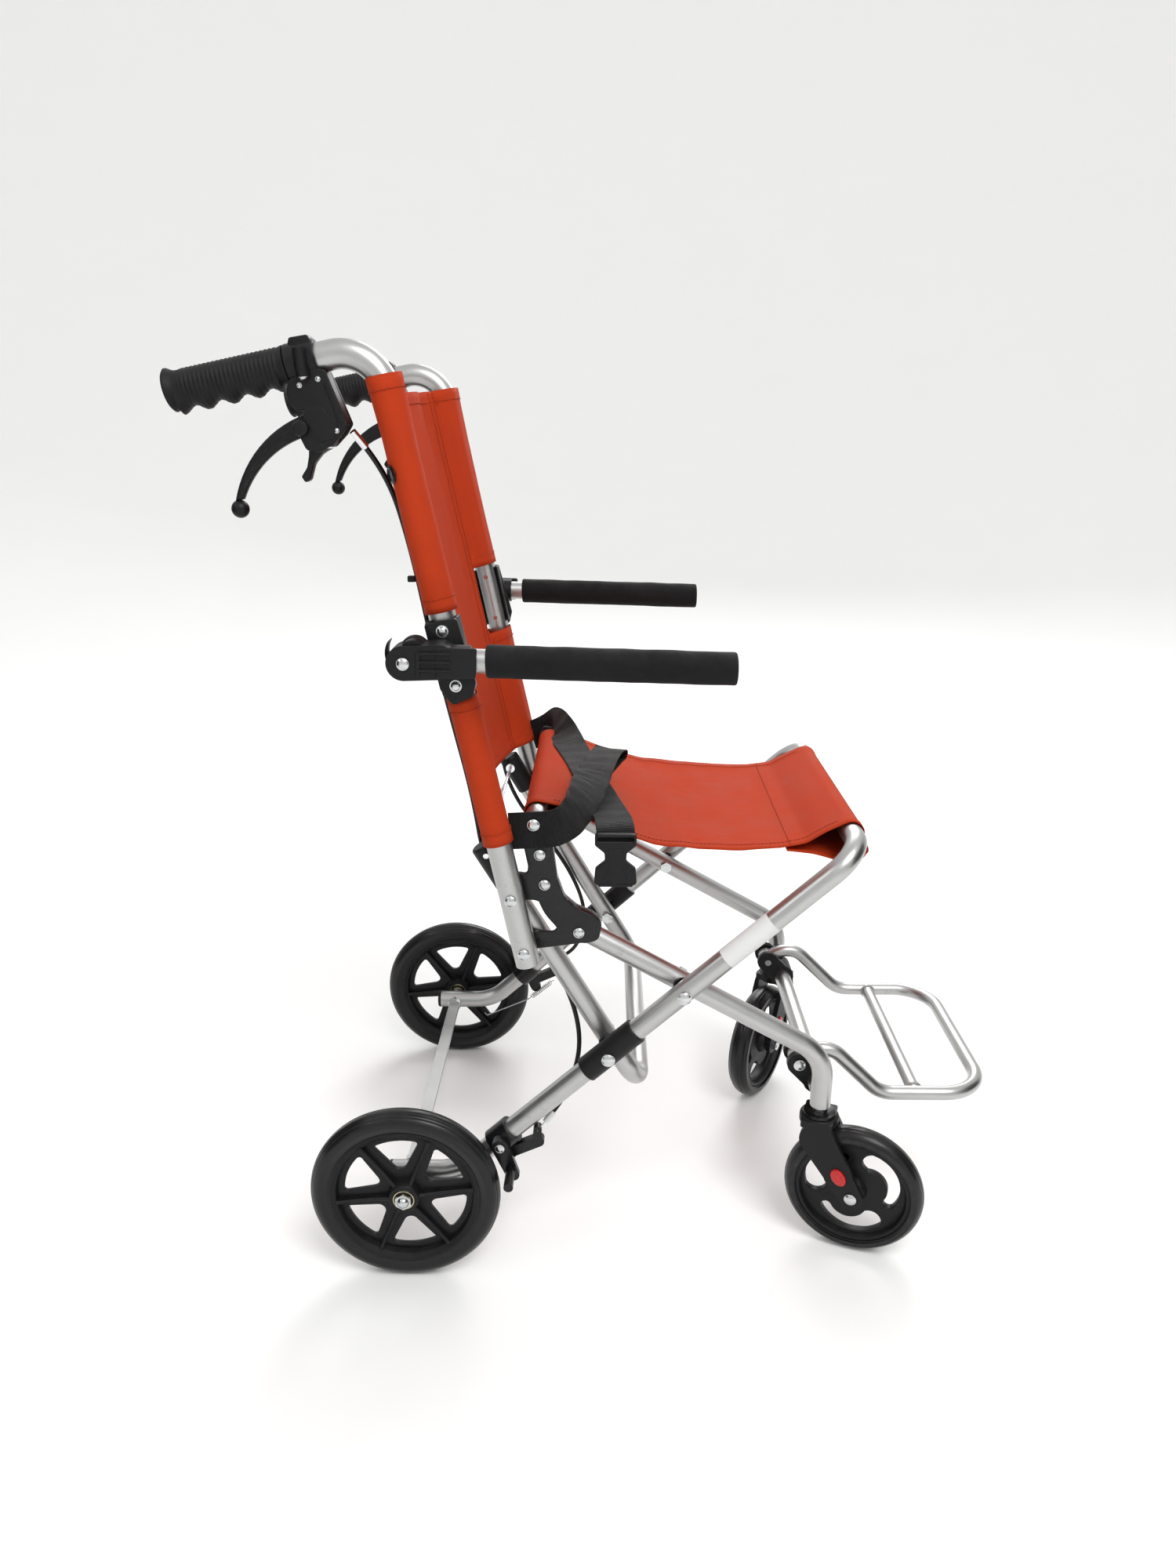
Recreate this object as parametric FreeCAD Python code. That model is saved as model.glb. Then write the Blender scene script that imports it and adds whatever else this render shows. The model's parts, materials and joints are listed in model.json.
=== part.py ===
import FreeCAD, Part
import math
import os
from FreeCAD import Vector

# Folding transport wheelchair, millimetres.
# X runs forward, Y to the sitter's left, Z up. The origin is on the floor, half way along and across.

# Driving dimensions -------------------------------------------------------------------------------
REAR_WHEEL_R = 100.0          # 8 inch rear wheels
CASTER_R = 75.0               # 6 inch casters
WHEEL_PLANE_Y = 221.0         # rear wheel centre planes
TYRE_W = 27.0

FRONT_TUBE_Y = 186.0          # front frame tube, and backrest tubes
BACK_TUBE_Y = 161.0           # back frame tube
BRACE_TUBE_Y = 155.0          # brace tube, clear inside the side brackets
ARM_Y = 224.0                 # armrests
FOOT_TUBE_Y = 119.0           # footrest sides

TUBE_R = 11.0                 # 22 mm frame tube
BACKREST_R = 12.5             # 25 mm backrest tube
FOOT_R = 8.0                  # 16 mm footrest tube
WALL = 1.6
BELT_W = 38.0
CABLE_R = 2.5

M8_R = 4.0                    # hole radii of the bolts
M6_R = 3.0
M5_R = 2.5
BOLT_FIT = 0.02               # a bolt is this much slimmer than its hole, in radius

CROSS = (51.0, 318.0)         # scissor pivot in X, Z
SEAT_REACH = 230.0            # pivot to either seat bar
FRONT_RISE = 42.6             # slope of the front frame tube, degrees
REAR_AXLE = (-238.0, REAR_WHEEL_R)
CROSS_BAR_W = 14.0            # flat bar between the rear axles, lying level
CROSS_BAR_T = 5.0
REAR_BAR = (-99.0, 494.0)     # rear seat bar
CASTER_X = 204.0              # caster stems
BACK_SLOPE = 29.5             # slope of the back frame's straight run, degrees
BACK_KNEE_X = -85.0           # where the back frame turns up to the seat
BACK_FOOT_Z = 170.0           # lower ends of the back frame tube, above the casters

BRACE_HINGE = 104.0           # scissor pivot down to the brace hinge, along the front frame tube
BRACE_RISE = 120.3            # direction of the brace, degrees from +X
BRACE_UP = 238.0
BRACE_DOWN = 67.0

BACKREST_FOOT = (-107.0, 350.0)
BACKREST_LEAN = 11.6          # degrees back from upright
BACKREST_BEND_Z = 931.0
HANDLE_BEND_R = 38.0
HANDLE_DROP = 11.4            # the handle falls to the rear by this many degrees
GRIP_LENGTH = 104.0
HANDLE_LENGTH = 179.0

ARM_PIVOT = (-208.0, 668.0)
PAD_SPAN = (-134.0, 84.0)
PAD_R = 15.0
ARM_TUBE_R = 11.0             # armrest tube
ARM_SOCKET_R = 13.95          # moulded socket round the armrest tube
ARM_DROP = 1.6                # the pad falls to the front by this many degrees

LEVER_PIVOT = (-292.0, 864.0)
LEVER_TIP = (-355.0, 795.0)
HOUSING_W = 24.0
BLADE_HALF = 4.5              # half thickness of the lever
FINGER_HALF = 6.0             # half thickness of the parking lock finger
SLOT_HALF = 6.5               # half width of the slots both move in

FOOT_PIVOT = (184.0, 203.0)
FOOT_CROSS_Z = 182.0
FOOT_LEVEL = 157.0
FOOT_FRONT_X = 399.0
FOOT_RUNG_X = 319.0

CASTER_TRAIL = 42.0
CASTER_TURN = {"right": -20.0, "left": 238.0}  # which way each caster trails at rest, degrees from +X
SPOKES = 6
SPOKE_TURN = 6.0              # direction of the first spoke, degrees up from +X
RIM_BED = 0.05                # gap between a rim and its tyre
BRAKE_PIVOT = (-139.0, 145.0)

CLOTH = 2.0                   # thickness of the folded cloth and of the webbing
SEAT_HALF = 138.0             # half width of the seat cloth
SEAT_SAG = 34.0
LOOP_GAP = 0.4                # the seat's loops clear their bars by this much
BACK_CLOTH = (481.0, 893.0)   # foot and top of the back cloth
SLEEVE_GAP = (627.0, 706.0)   # where both sleeves are cut away for the arm brackets
BACK_BOW = 34.0

RUNNING = 0.05                # radial clearance of a turning fit
GAP = 0.4                     # clearance between pieces that only pass each other

SIDES = {"right": -1, "left": 1}


# Brake cable on the left; the right one mirrors it.
CABLE_ROUTE = [(-247.0, 186.0, 857.0), (-236.0, 179.0, 842.0), (-229.0, 167.0, 812.0), (-222.0, 159.0, 774.0),
               (-214.0, 155.0, 730.0), (-206.0, 152.0, 682.0), (-197.0, 149.0, 632.0), (-187.0, 145.0, 582.0),
               (-176.0, 140.0, 534.0), (-167.0, 136.0, 492.0), (-158.0, 134.0, 452.0), (-141.0, 134.0, 414.0),
               (-117.0, 136.0, 379.0), (-93.0, 140.0, 345.0), (-73.0, 145.0, 309.0), (-59.0, 150.0, 272.0),
               (-55.0, 156.0, 236.0), (-63.0, 165.0, 203.0), (-75.0, 175.0, 180.0), (-90.0, 186.0, 166.0)]


# Small geometry helpers ---------------------------------------------------------------------------
def at(xz, y):
    """A point in X, Z moved out to Y."""
    return Vector(xz[0], y, xz[1])


def polar(xz, distance, degrees):
    """The X, Z point at a distance and direction from another."""
    a = math.radians(degrees)
    return (xz[0] + distance * math.cos(a), xz[1] + distance * math.sin(a))


def path(points, radii):
    """A wire of straight runs joined by tangent arcs."""
    edges = []
    start = points[0]
    for corner, after, radius in zip(points[1:-1], points[2:], radii):
        back = (start - corner).normalize()
        ahead = (after - corner).normalize()
        half_turn = (math.pi - back.getAngle(ahead)) / 2
        reach = radius * math.tan(half_turn)
        into = corner + back * reach
        out = corner + ahead * reach
        middle = corner + (back + ahead).normalize() * (radius / math.cos(half_turn) - radius)
        if (into - start).Length > 1e-6:
            edges.append(Part.LineSegment(start, into).toShape())
        edges.append(Part.Arc(into, middle, out).toShape())
        start = out
    edges.append(Part.LineSegment(start, points[-1]).toShape())
    return Part.Wire(edges)


def disc(centre, normal, outer, inner=0.0):
    """A flat round face, with a hole when inner is given."""
    rim = Part.Wire(Part.Circle(centre, normal, outer).toShape())
    if not inner:
        return Part.Face(rim)
    hole = Part.Wire(Part.Circle(centre, normal, inner).toShape())
    return Part.Face(rim).cut(Part.Face(hole)).Faces[0]


def bent_tube(points, radii, outer, wall=WALL):
    """A round tube along a bent path; wall 0 makes it solid."""
    direction = points[1] - points[0]
    inner = outer - wall if wall else 0.0
    return path(points, radii).makePipe(disc(points[0], direction, outer, inner))


def rod(start, end, radius, inner=0.0):
    """A round bar or bush between two points."""
    shape = Part.makeCylinder(radius, (end - start).Length, start, end - start)
    if inner:
        shape = shape.cut(Part.makeCylinder(inner, (end - start).Length, start, end - start))
    return shape


def cross_rod(xz, y0, y1, radius, inner=0.0):
    """A round bar across the chair."""
    return rod(at(xz, min(y0, y1)), at(xz, max(y0, y1)), radius, inner)


def plate(outline, y0, y1):
    """A flat piece of the given X, Z outline between two Y planes."""
    low, high = min(y0, y1), max(y0, y1)
    wire = Part.makePolygon([at(p, low) for p in outline + outline[:1]])
    return Part.Face(wire).extrude(Vector(0, high - low, 0))


def bar(a, b, half_width, y0, y1):
    """A flat link with round ends between two X, Z points."""
    low, high = min(y0, y1), max(y0, y1)
    run = Vector(b[0] - a[0], 0, b[1] - a[1])
    side = Vector(-run.z, 0, run.x).normalize() * half_width
    box = plate([(a[0] + side.x, a[1] + side.z), (b[0] + side.x, b[1] + side.z),
                 (b[0] - side.x, b[1] - side.z), (a[0] - side.x, a[1] - side.z)], low, high)
    ends = [cross_rod(p, low, high, half_width) for p in (a, b)]
    return box.fuse(ends).removeSplitter()


def taper(a, b, ra, rb, y0, y1):
    """A flat link whose round ends differ in size, with tangent sides."""
    low, high = min(y0, y1), max(y0, y1)
    run = Vector(b[0] - a[0], 0, b[1] - a[1])
    length = run.Length
    base = math.atan2(run.z, run.x)
    lean = math.acos((ra - rb) / length)
    outline = []
    for centre, radius, sign in ((a, ra, 1), (b, rb, 1), (b, rb, -1), (a, ra, -1)):
        outline.append((centre[0] + radius * math.cos(base + sign * lean),
                        centre[1] + radius * math.sin(base + sign * lean)))
    ends = [cross_rod(a, low, high, ra), cross_rod(b, low, high, rb)]
    return plate(outline, low, high).fuse(ends).removeSplitter()


def spin(profile, origin):
    """A turned piece: profile points are (radius, along), turned about Y through origin."""
    points = []
    for radius, along in profile + profile[:1]:
        points.append(Vector(radius, along, 0))
    shape = Part.Face(Part.makePolygon(points)).revolve(Vector(0, 0, 0), Vector(0, 1, 0), 360)
    shape = Part.Solid(shape) if shape.ShapeType != "Solid" else shape
    shape.translate(origin)
    return shape


def rounded(shape, radius, pick):
    """The shape with the picked edges rounded."""
    edges = [e for e in shape.Edges if pick(e)]
    return shape.makeFillet(radius, edges)


def mirrored(shape):
    """The same piece on the other side of the chair."""
    return shape.mirror(Vector(0, 0, 0), Vector(0, 1, 0))


def dome_bolt(xz, y_head, y_end, shank, head):
    """A bolt across the chair: domed head outside y_head, shank to y_end."""
    out = 1 if y_head > y_end else -1
    body = cross_rod(xz, y_head, y_end, shank)
    cap = cross_rod(xz, y_head, y_head + out * head * 0.35, head)
    dome_r = head * 1.35
    ball = Part.makeSphere(dome_r, at(xz, y_head + out * (head * 0.72 - dome_r)))
    cap = cap.fuse(ball.common(cross_rod(xz, y_head, y_head + out * head, head)))
    return body.fuse(cap).removeSplitter()


def hex_nut(xz, y0, y1, across):
    """A plain hexagonal nut on a cross bolt."""
    r = across / math.sqrt(3)
    return plate([polar(xz, r, 60 * i + 30) for i in range(6)], y0, y1)


NODES = {}


def keep(name, shapes):
    """Store one node; a list is kept as separate solids."""
    if not isinstance(shapes, list):
        shapes = [shapes]
    solids = []
    for shape in shapes:
        solids.extend(shape.Solids)
    NODES[name] = solids[0] if len(solids) == 1 else Part.makeCompound(solids)


def keep_pair(name, shape_right):
    """Store a right-hand piece and its mirror image."""
    keep(name + "_right", shape_right)
    keep(name + "_left", mirrored(shape_right))


# Places worked out from the driving dimensions ----------------------------------------------------
FRONT_BAR = polar(CROSS, SEAT_REACH, FRONT_RISE)
BRACE_PIVOT = polar(CROSS, -BRACE_HINGE, FRONT_RISE)
slope = math.tan(math.radians(FRONT_RISE))
FRONT_KNEE = (CROSS[0] - (CROSS[1] - REAR_AXLE[1]) / slope, REAR_AXLE[1])
back_slope = math.tan(math.radians(BACK_SLOPE))
BACK_ELBOW = (CASTER_X, CROSS[1] - (CASTER_X - CROSS[0]) * back_slope)
BACK_KNEE = (BACK_KNEE_X, CROSS[1] + (CROSS[0] - BACK_KNEE_X) * back_slope)
BRACE_TOP = polar(BRACE_PIVOT, BRACE_UP, BRACE_RISE)
BRACE_BAR = polar(BRACE_PIVOT, -BRACE_DOWN, BRACE_RISE)
lean = math.tan(math.radians(BACKREST_LEAN))


def backrest_x(z):
    """X of the backrest tube's centre line at a height."""
    return BACKREST_FOOT[0] - (z - BACKREST_FOOT[1]) * lean


HANDLE_CORNER = (backrest_x(BACKREST_BEND_Z), BACKREST_BEND_Z)
HANDLE_END = polar(HANDLE_CORNER, HANDLE_LENGTH, 180 + HANDLE_DROP)

# Bolt places: (X, Z)
BACKREST_BOLTS = [(backrest_x(z), z) for z in (424.0, 366.0)]
BRACKET_BOLTS = [(BACK_KNEE[0] + (REAR_BAR[0] - BACK_KNEE[0]) * (z - BACK_KNEE[1]) / (REAR_BAR[1] - BACK_KNEE[1]), z)
                 for z in (463.0, 431.0)]
BRACKET_BOLTS.append((-56.0, CROSS[1] + (CROSS[0] + 56.0) * back_slope))
STRAP_BOLT = (-100.0, 496.0)
ARM_BOLTS = [(backrest_x(z), z) for z in (691.0, 641.0)]
BOLT_RECESS = 4.0              # the arm bracket is thinner at its bolts, so the hinge swings past them
LOCK_PIVOT = (-270.0, 850.0)


def holes(shape, places, y0, y1, radius):
    """Cross holes through a piece."""
    for xz in places:
        shape = shape.cut(cross_rod(xz, y0, y1, radius))
    return shape


# Front frame: one bent tube from the rear wheels to the seat's front bar --------------------------
def build_front_frame():
    y = FRONT_TUBE_Y
    tail = (REAR_AXLE[0] - 20, REAR_AXLE[1])
    tube = bent_tube([at(tail, -y), at(FRONT_KNEE, -y), at(FRONT_BAR, -y), at(FRONT_BAR, y), at(FRONT_KNEE, y),
                      at(tail, y)], [55, 34, 34, 55], TUBE_R)
    for s in SIDES.values():
        inside, outside = s * (y - 15), s * (y + 15)
        tube = holes(tube, [CROSS, BRACE_PIVOT], inside, outside, M8_R)
        tube = holes(tube, [REAR_AXLE], inside, outside, 5.0)
    keep("front_frame_tube", tube)

    plugs = []
    for s in SIDES.values():
        end = Vector(tail[0], s * y, tail[1])
        plug = Part.makeCylinder(TUBE_R, 4, end, Vector(-1, 0, 0))
        plug = rounded(plug, 2.0, lambda e: abs(e.BoundBox.XMax - (tail[0] - 4)) < 0.01)
        plugs.append(plug.fuse(Part.makeCylinder(TUBE_R - WALL - 0.1, 9, end, Vector(1, 0, 0))))
    keep("tube_plugs", plugs)

    bar_y = y - TUBE_R - 8.1
    corner = Vector(REAR_AXLE[0] - CROSS_BAR_W / 2, -bar_y, REAR_AXLE[1] - CROSS_BAR_T / 2)
    keep("rear_cross_bar", Part.makeBox(CROSS_BAR_W, 2 * bar_y, CROSS_BAR_T, corner))

    sleeves = []
    along = Vector(math.cos(math.radians(FRONT_RISE)), 0, math.sin(math.radians(FRONT_RISE)))
    for s in SIDES.values():
        centre = at(BRACE_PIVOT, s * y) + along * 4
        sleeve = rod(centre - along * 35, centre + along * 35, TUBE_R + 2.6, TUBE_R + BOLT_FIT)
        sleeve = rounded(sleeve, 1.0, lambda e: abs(e.Length - 2 * math.pi * (TUBE_R + 2.6)) < 0.1)
        sleeves.append(holes(sleeve, [BRACE_PIVOT], s * (y - 20), s * (y + 20), 4.0))
        inner_end = BRACE_TUBE_Y + TUBE_R + GAP
        sleeves.append(cross_rod(BRACE_PIVOT, s * inner_end, s * (y - TUBE_R - 3.2), 10.0, 4.0))
        sleeves.append(cross_rod(CROSS, s * (BACK_TUBE_Y + TUBE_R + GAP), s * (y - TUBE_R - 0.3), 10.0, 4.0))
    keep("brace_sleeves", sleeves)

    bolts = []
    for s in SIDES.values():
        bolts.append(dome_bolt(CROSS, s * (y + TUBE_R + 0.1), s * (BACK_TUBE_Y - TUBE_R - 7), M8_R - BOLT_FIT, 7.0))
        bolts.append(hex_nut(CROSS, s * (BACK_TUBE_Y - TUBE_R - GAP), s * (BACK_TUBE_Y - TUBE_R - 6.5), 13)
                     .cut(cross_rod(CROSS, s * 130, s * 160, 4.0)))
        bolts.append(dome_bolt(BRACE_PIVOT, s * (y + TUBE_R + 2.7), s * (BRACE_TUBE_Y - TUBE_R - 7), M8_R - BOLT_FIT, 7.0))
        bolts.append(hex_nut(BRACE_PIVOT, s * (BRACE_TUBE_Y - TUBE_R - GAP), s * (BRACE_TUBE_Y - TUBE_R - 6.5), 13)
                     .cut(cross_rod(BRACE_PIVOT, s * 125, s * 155, 4.0)))
    keep("front_frame_fasteners", bolts)

    axles = []
    for s in SIDES.values():
        inner, outer = y - TUBE_R - 8, WHEEL_PLANE_Y + 15
        axle = cross_rod(REAR_AXLE, s * inner, s * (outer + 1), 4.98)
        axle = axle.fuse(cross_rod(REAR_AXLE, s * (y + TUBE_R + 0.05), s * (WHEEL_PLANE_Y - 14.4), 8.0))
        axle = axle.fuse(hex_nut(REAR_AXLE, s * (outer - 0.5), s * (outer + 3.0), 16))
        ball = Part.makeSphere(6.4, at(REAR_AXLE, s * (outer + 1.6)))
        axle = axle.fuse(ball.common(cross_rod(REAR_AXLE, s * outer, s * (outer + 20), 6.2)))
        axles.append(axle.fuse(hex_nut(REAR_AXLE, s * inner, s * (inner + 7.8), 16)).removeSplitter())
    keep("rear_axles", axles)


# Back frame: one bent tube from the casters to the seat's rear bar --------------------------------
def build_back_frame():
    y = BACK_TUBE_Y
    points = [Vector(CASTER_X, -y, BACK_FOOT_Z), at(BACK_ELBOW, -y), at(BACK_KNEE, -y), at(REAR_BAR, -y),
              at(REAR_BAR, y), at(BACK_KNEE, y), at(BACK_ELBOW, y), Vector(CASTER_X, y, BACK_FOOT_Z)]
    tube = bent_tube(points, [48, 50, 22, 22, 50, 48], TUBE_R)
    for s in SIDES.values():
        inside, outside = s * (y - 15), s * (y + 15)
        tube = holes(tube, [CROSS], inside, outside, M8_R - BOLT_FIT + RUNNING)
        tube = holes(tube, BRACKET_BOLTS, inside, outside, M6_R)
    keep("back_frame_tube", tube)


def back_frame_core(s):
    """The solid swept by the back frame tube, used to hollow the bracket."""
    y = s * BACK_TUBE_Y
    beyond = (2 * REAR_BAR[0] - BACK_KNEE[0], 2 * REAR_BAR[1] - BACK_KNEE[1])
    points = [at(CROSS, y), at(BACK_KNEE, y), at(beyond, y)]
    return bent_tube(points, [50], TUBE_R + BOLT_FIT, 0)


def build_side_bracket():
    """Moulded bracket: a shell over the back frame's knee with three arms to the backrest tube."""
    s = -1
    outer = s * (FRONT_TUBE_Y - BACKREST_R - 0.3)
    arm_in = s * (BRACE_TUBE_Y + TUBE_R + 2.7)
    shell_in = s * (BACK_TUBE_Y - 1)
    knee_in = polar(BACK_KNEE, 8.0, 34.0)
    upper = (REAR_BAR[0] + 0.5, REAR_BAR[1] - 1.0)
    lower = (-40.0, BACK_KNEE[1] - (-40.0 - BACK_KNEE[0]) * back_slope)
    shell = bar(upper, (BACK_KNEE[0] - 3.5, BACK_KNEE[1] + 16), TUBE_R + 2.6, outer, shell_in)
    shell = shell.fuse(bar((BACK_KNEE[0] + 5, BACK_KNEE[1] + 2), lower, TUBE_R + 2.4, outer, shell_in))
    shell = shell.fuse(cross_rod(knee_in, outer, shell_in, TUBE_R + 3))
    arms = []
    for root, target in (((BACK_KNEE[0] - 6, 441.0), 424.0), ((-62.0, 381.0), 366.0)):
        arms.append(bar(root, (backrest_x(target), target), 8.0, outer, arm_in))
    body = shell.fuse(arms)
    body = body.cut(back_frame_core(s))
    body = holes(body, BRACKET_BOLTS + [STRAP_BOLT] + BACKREST_BOLTS, s * 140, s * 185, M6_R)
    keep_pair("side_bracket", body.removeSplitter())


def build_backrest():
    """Backrest tube bent back into the push handle, with the grip on it."""
    y = -FRONT_TUBE_Y
    tube = bent_tube([at(BACKREST_FOOT, y), at(HANDLE_CORNER, y), at(HANDLE_END, y)], [HANDLE_BEND_R], BACKREST_R)
    tube = holes(tube, BACKREST_BOLTS, y - 20, y + 20, M6_R)
    tube = holes(tube, ARM_BOLTS, y - 20, y + 20, M5_R)
    keep_pair("backrest_tube", tube)

    back = at(HANDLE_END, y)
    axis = (back - at(HANDLE_CORNER, y)).normalize()
    rear = back + axis * 3.0
    front = rear - axis * GRIP_LENGTH
    grip = rod(front, rear, BACKREST_R + 1.8)
    grip = rounded(grip, 1.2, lambda e: e.Length > 60)
    down = axis.cross(Vector(0, 1, 0)).normalize()
    if down.z > 0:
        down = down * -1
    for i in range(5):
        centre = front + axis * (GRIP_LENGTH * (0.14 + 0.18 * i)) + down * (BACKREST_R + 0.2)
        ridge = Part.makeCylinder(4.6, 16, centre - Vector(0, 8, 0), Vector(0, 1, 0))
        grip = grip.fuse(ridge)
    grip = grip.cut(rod(front - axis * 5, back, BACKREST_R + BOLT_FIT))
    keep_pair("handle_grip", grip.removeSplitter())
    return front, axis


def build_hand_brake(grip_front, axis):
    """Clamp and housing on the handle, the lever that squeezes up and the parking lock finger."""
    y = -FRONT_TUBE_Y
    half = HOUSING_W / 2
    clamp_rear = grip_front - axis * 0.6
    clamp_front = clamp_rear - axis * 26
    clamp = rod(clamp_rear, clamp_front, BACKREST_R + 3.4)
    body = plate([(-306.0, 897.0), (-271.0, 905.0), (-264.0, 899.0), (-252.0, 868.0), (-250.0, 858.0),
                  (-258.0, 847.0), (-277.0, 838.0), (-289.0, 845.0), (-303.0, 856.0), (-304.0, 876.0)],
                 y - half, y + half)
    body = rounded(body, 2.5, lambda e: abs(e.BoundBox.YLength) < 0.01)
    body = body.fuse(clamp)
    body = body.cut(rod(grip_front + axis * 5, clamp_front - axis * 40, BACKREST_R + BOLT_FIT))
    slot = plate([(-330.0, 830.0), (-330.0, 882.0), (-278.0, 882.0), (-278.0, 852.0), (-270.0, 830.0)],
                 y - SLOT_HALF, y + SLOT_HALF)
    body = body.cut(slot)
    lower_slot = plate([(-292.0, 800.0), (-292.0, 862.0), (-262.0, 862.0), (-262.0, 800.0)],
                       y - SLOT_HALF, y + SLOT_HALF)
    body = body.cut(lower_slot)
    body = holes(body, [LEVER_PIVOT], y - 30, y + 30, M6_R)
    body = holes(body, [LOCK_PIVOT], y - 30, y + 30, M5_R)
    gland = Vector(CABLE_ROUTE[0][0], -CABLE_ROUTE[0][1], CABLE_ROUTE[0][2])
    leaving = Vector(CABLE_ROUTE[1][0], -CABLE_ROUTE[1][1], CABLE_ROUTE[1][2]) - gland
    body = body.fuse(rod(gland - leaving.normalize() * 9, gland, 4.2))
    body = body.fuse(cross_rod((-282.0, 902.0), y - half - 3, y - half + 1, 6.5))
    keep_pair("brake_housing", body.removeSplitter())

    lever = blade(LEVER_PIVOT, (-331.0, 845.0), LEVER_TIP, 8.0, 3.6, y - BLADE_HALF, y + BLADE_HALF)
    lever = lever.fuse(Part.makeSphere(8.0, at(LEVER_TIP, y)))
    lever = lever.fuse(cross_rod(LEVER_PIVOT, y - 6, y + 6, 9.5))
    lever = lever.cut(cross_rod(LEVER_PIVOT, y - 30, y + 30, M6_R + RUNNING))
    keep_pair("brake_lever", lever.removeSplitter())

    finger = taper(LOCK_PIVOT, (-294.0, 822.0), 7.0, 4.6, y - FINGER_HALF, y + FINGER_HALF)
    finger = finger.cut(cross_rod(LOCK_PIVOT, y - 30, y + 30, M5_R + RUNNING))
    keep_pair("lock_finger", finger)
    pins = [dome_bolt(LEVER_PIVOT, y - half - 0.1, y + half + 1, M6_R - BOLT_FIT, 5.0),
            cross_rod(LOCK_PIVOT, y - half + 0.5, y + half - 0.5, 2.5)]
    return pins


def blade(a, through, b, wide, narrow, y0, y1):
    """A flat blade that follows an arc through three X, Z points and tapers to its tip."""
    curve = Part.Arc(at(a, 0), at(through, 0), at(b, 0))
    steps = 10
    left, right = [], []
    for i in range(steps + 1):
        t = curve.FirstParameter + (curve.LastParameter - curve.FirstParameter) * i / steps
        centre, ahead = curve.value(t), Vector(*curve.tangent(t)[0])
        side = Vector(-ahead.z, 0, ahead.x) * (wide + (narrow - wide) * i / steps)
        left.append((centre.x + side.x, centre.z + side.z))
        right.append((centre.x - side.x, centre.z - side.z))
    return plate(left + right[::-1], y0, y1)


# Armrests --------------------------------------------------------------------------------
def build_armrest():
    y = -ARM_Y
    lug_out = y + 14.5
    wall_in = -FRONT_TUBE_Y
    tube_y = -FRONT_TUBE_Y
    low, high = (backrest_x(643), 643.0), (backrest_x(684), 684.0)
    saddle = taper(high, low, 16.0, 10.0, wall_in - 2, lug_out + BOLT_RECESS)
    lug = bar((backrest_x(668), 668.0), ARM_PIVOT, 13.0, -FRONT_TUBE_Y - BACKREST_R - 1, lug_out)
    bracket = saddle.fuse(lug)
    top = Vector(backrest_x(760), tube_y, 760)
    foot = Vector(backrest_x(560), tube_y, 560)
    bracket = bracket.cut(rod(foot, top, BACKREST_R + BOLT_FIT))
    bracket = holes(bracket, ARM_BOLTS, -250, -150, M5_R)
    bracket = bracket.cut(cross_rod(ARM_PIVOT, -250, -150, M8_R)).removeSplitter()
    keep("arm_brackets", [bracket, mirrored(bracket)])

    drop = math.tan(math.radians(ARM_DROP))

    def centre(x):
        return Vector(x, y, ARM_PIVOT[1] + 1.5 - (x - ARM_PIVOT[0]) * drop)

    tube_start, tube_end = centre(-176.0), centre(PAD_SPAN[1] - 6)
    hinge = bar(ARM_PIVOT, (-176.0, 669.0), 15.5, y - 14, y + 14)
    socket_end = centre(-150.0)
    hinge = hinge.fuse(rod(centre(-180.0), socket_end, ARM_SOCKET_R))
    hinge = hinge.fuse(cross_rod((-200.0, 677.0), y - 10, y + 10, 11.0))
    hinge = hinge.cut(rod(tube_start, tube_end, ARM_TUBE_R + BOLT_FIT))
    hinge = hinge.cut(cross_rod(ARM_PIVOT, y - 30, y + 30, M8_R + RUNNING)).removeSplitter()
    keep_pair("arm_hinge", hinge)
    tube = rod(tube_start, tube_end, ARM_TUBE_R, ARM_TUBE_R - WALL)
    keep_pair("armrest_tube", tube)
    pad = rod(centre(PAD_SPAN[0]), centre(PAD_SPAN[1]), PAD_R)
    pad = rounded(pad, 2.5, lambda e: e.Length > 60)
    pad = pad.cut(rod(centre(PAD_SPAN[0] - 10), tube_end, ARM_TUBE_R + BOLT_FIT))
    keep_pair("armrest_pad", pad)
    pin = dome_bolt(ARM_PIVOT, y - 14.5, wall_in - BACKREST_R - 1, M8_R - BOLT_FIT, 5.6)
    return [pin]


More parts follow.
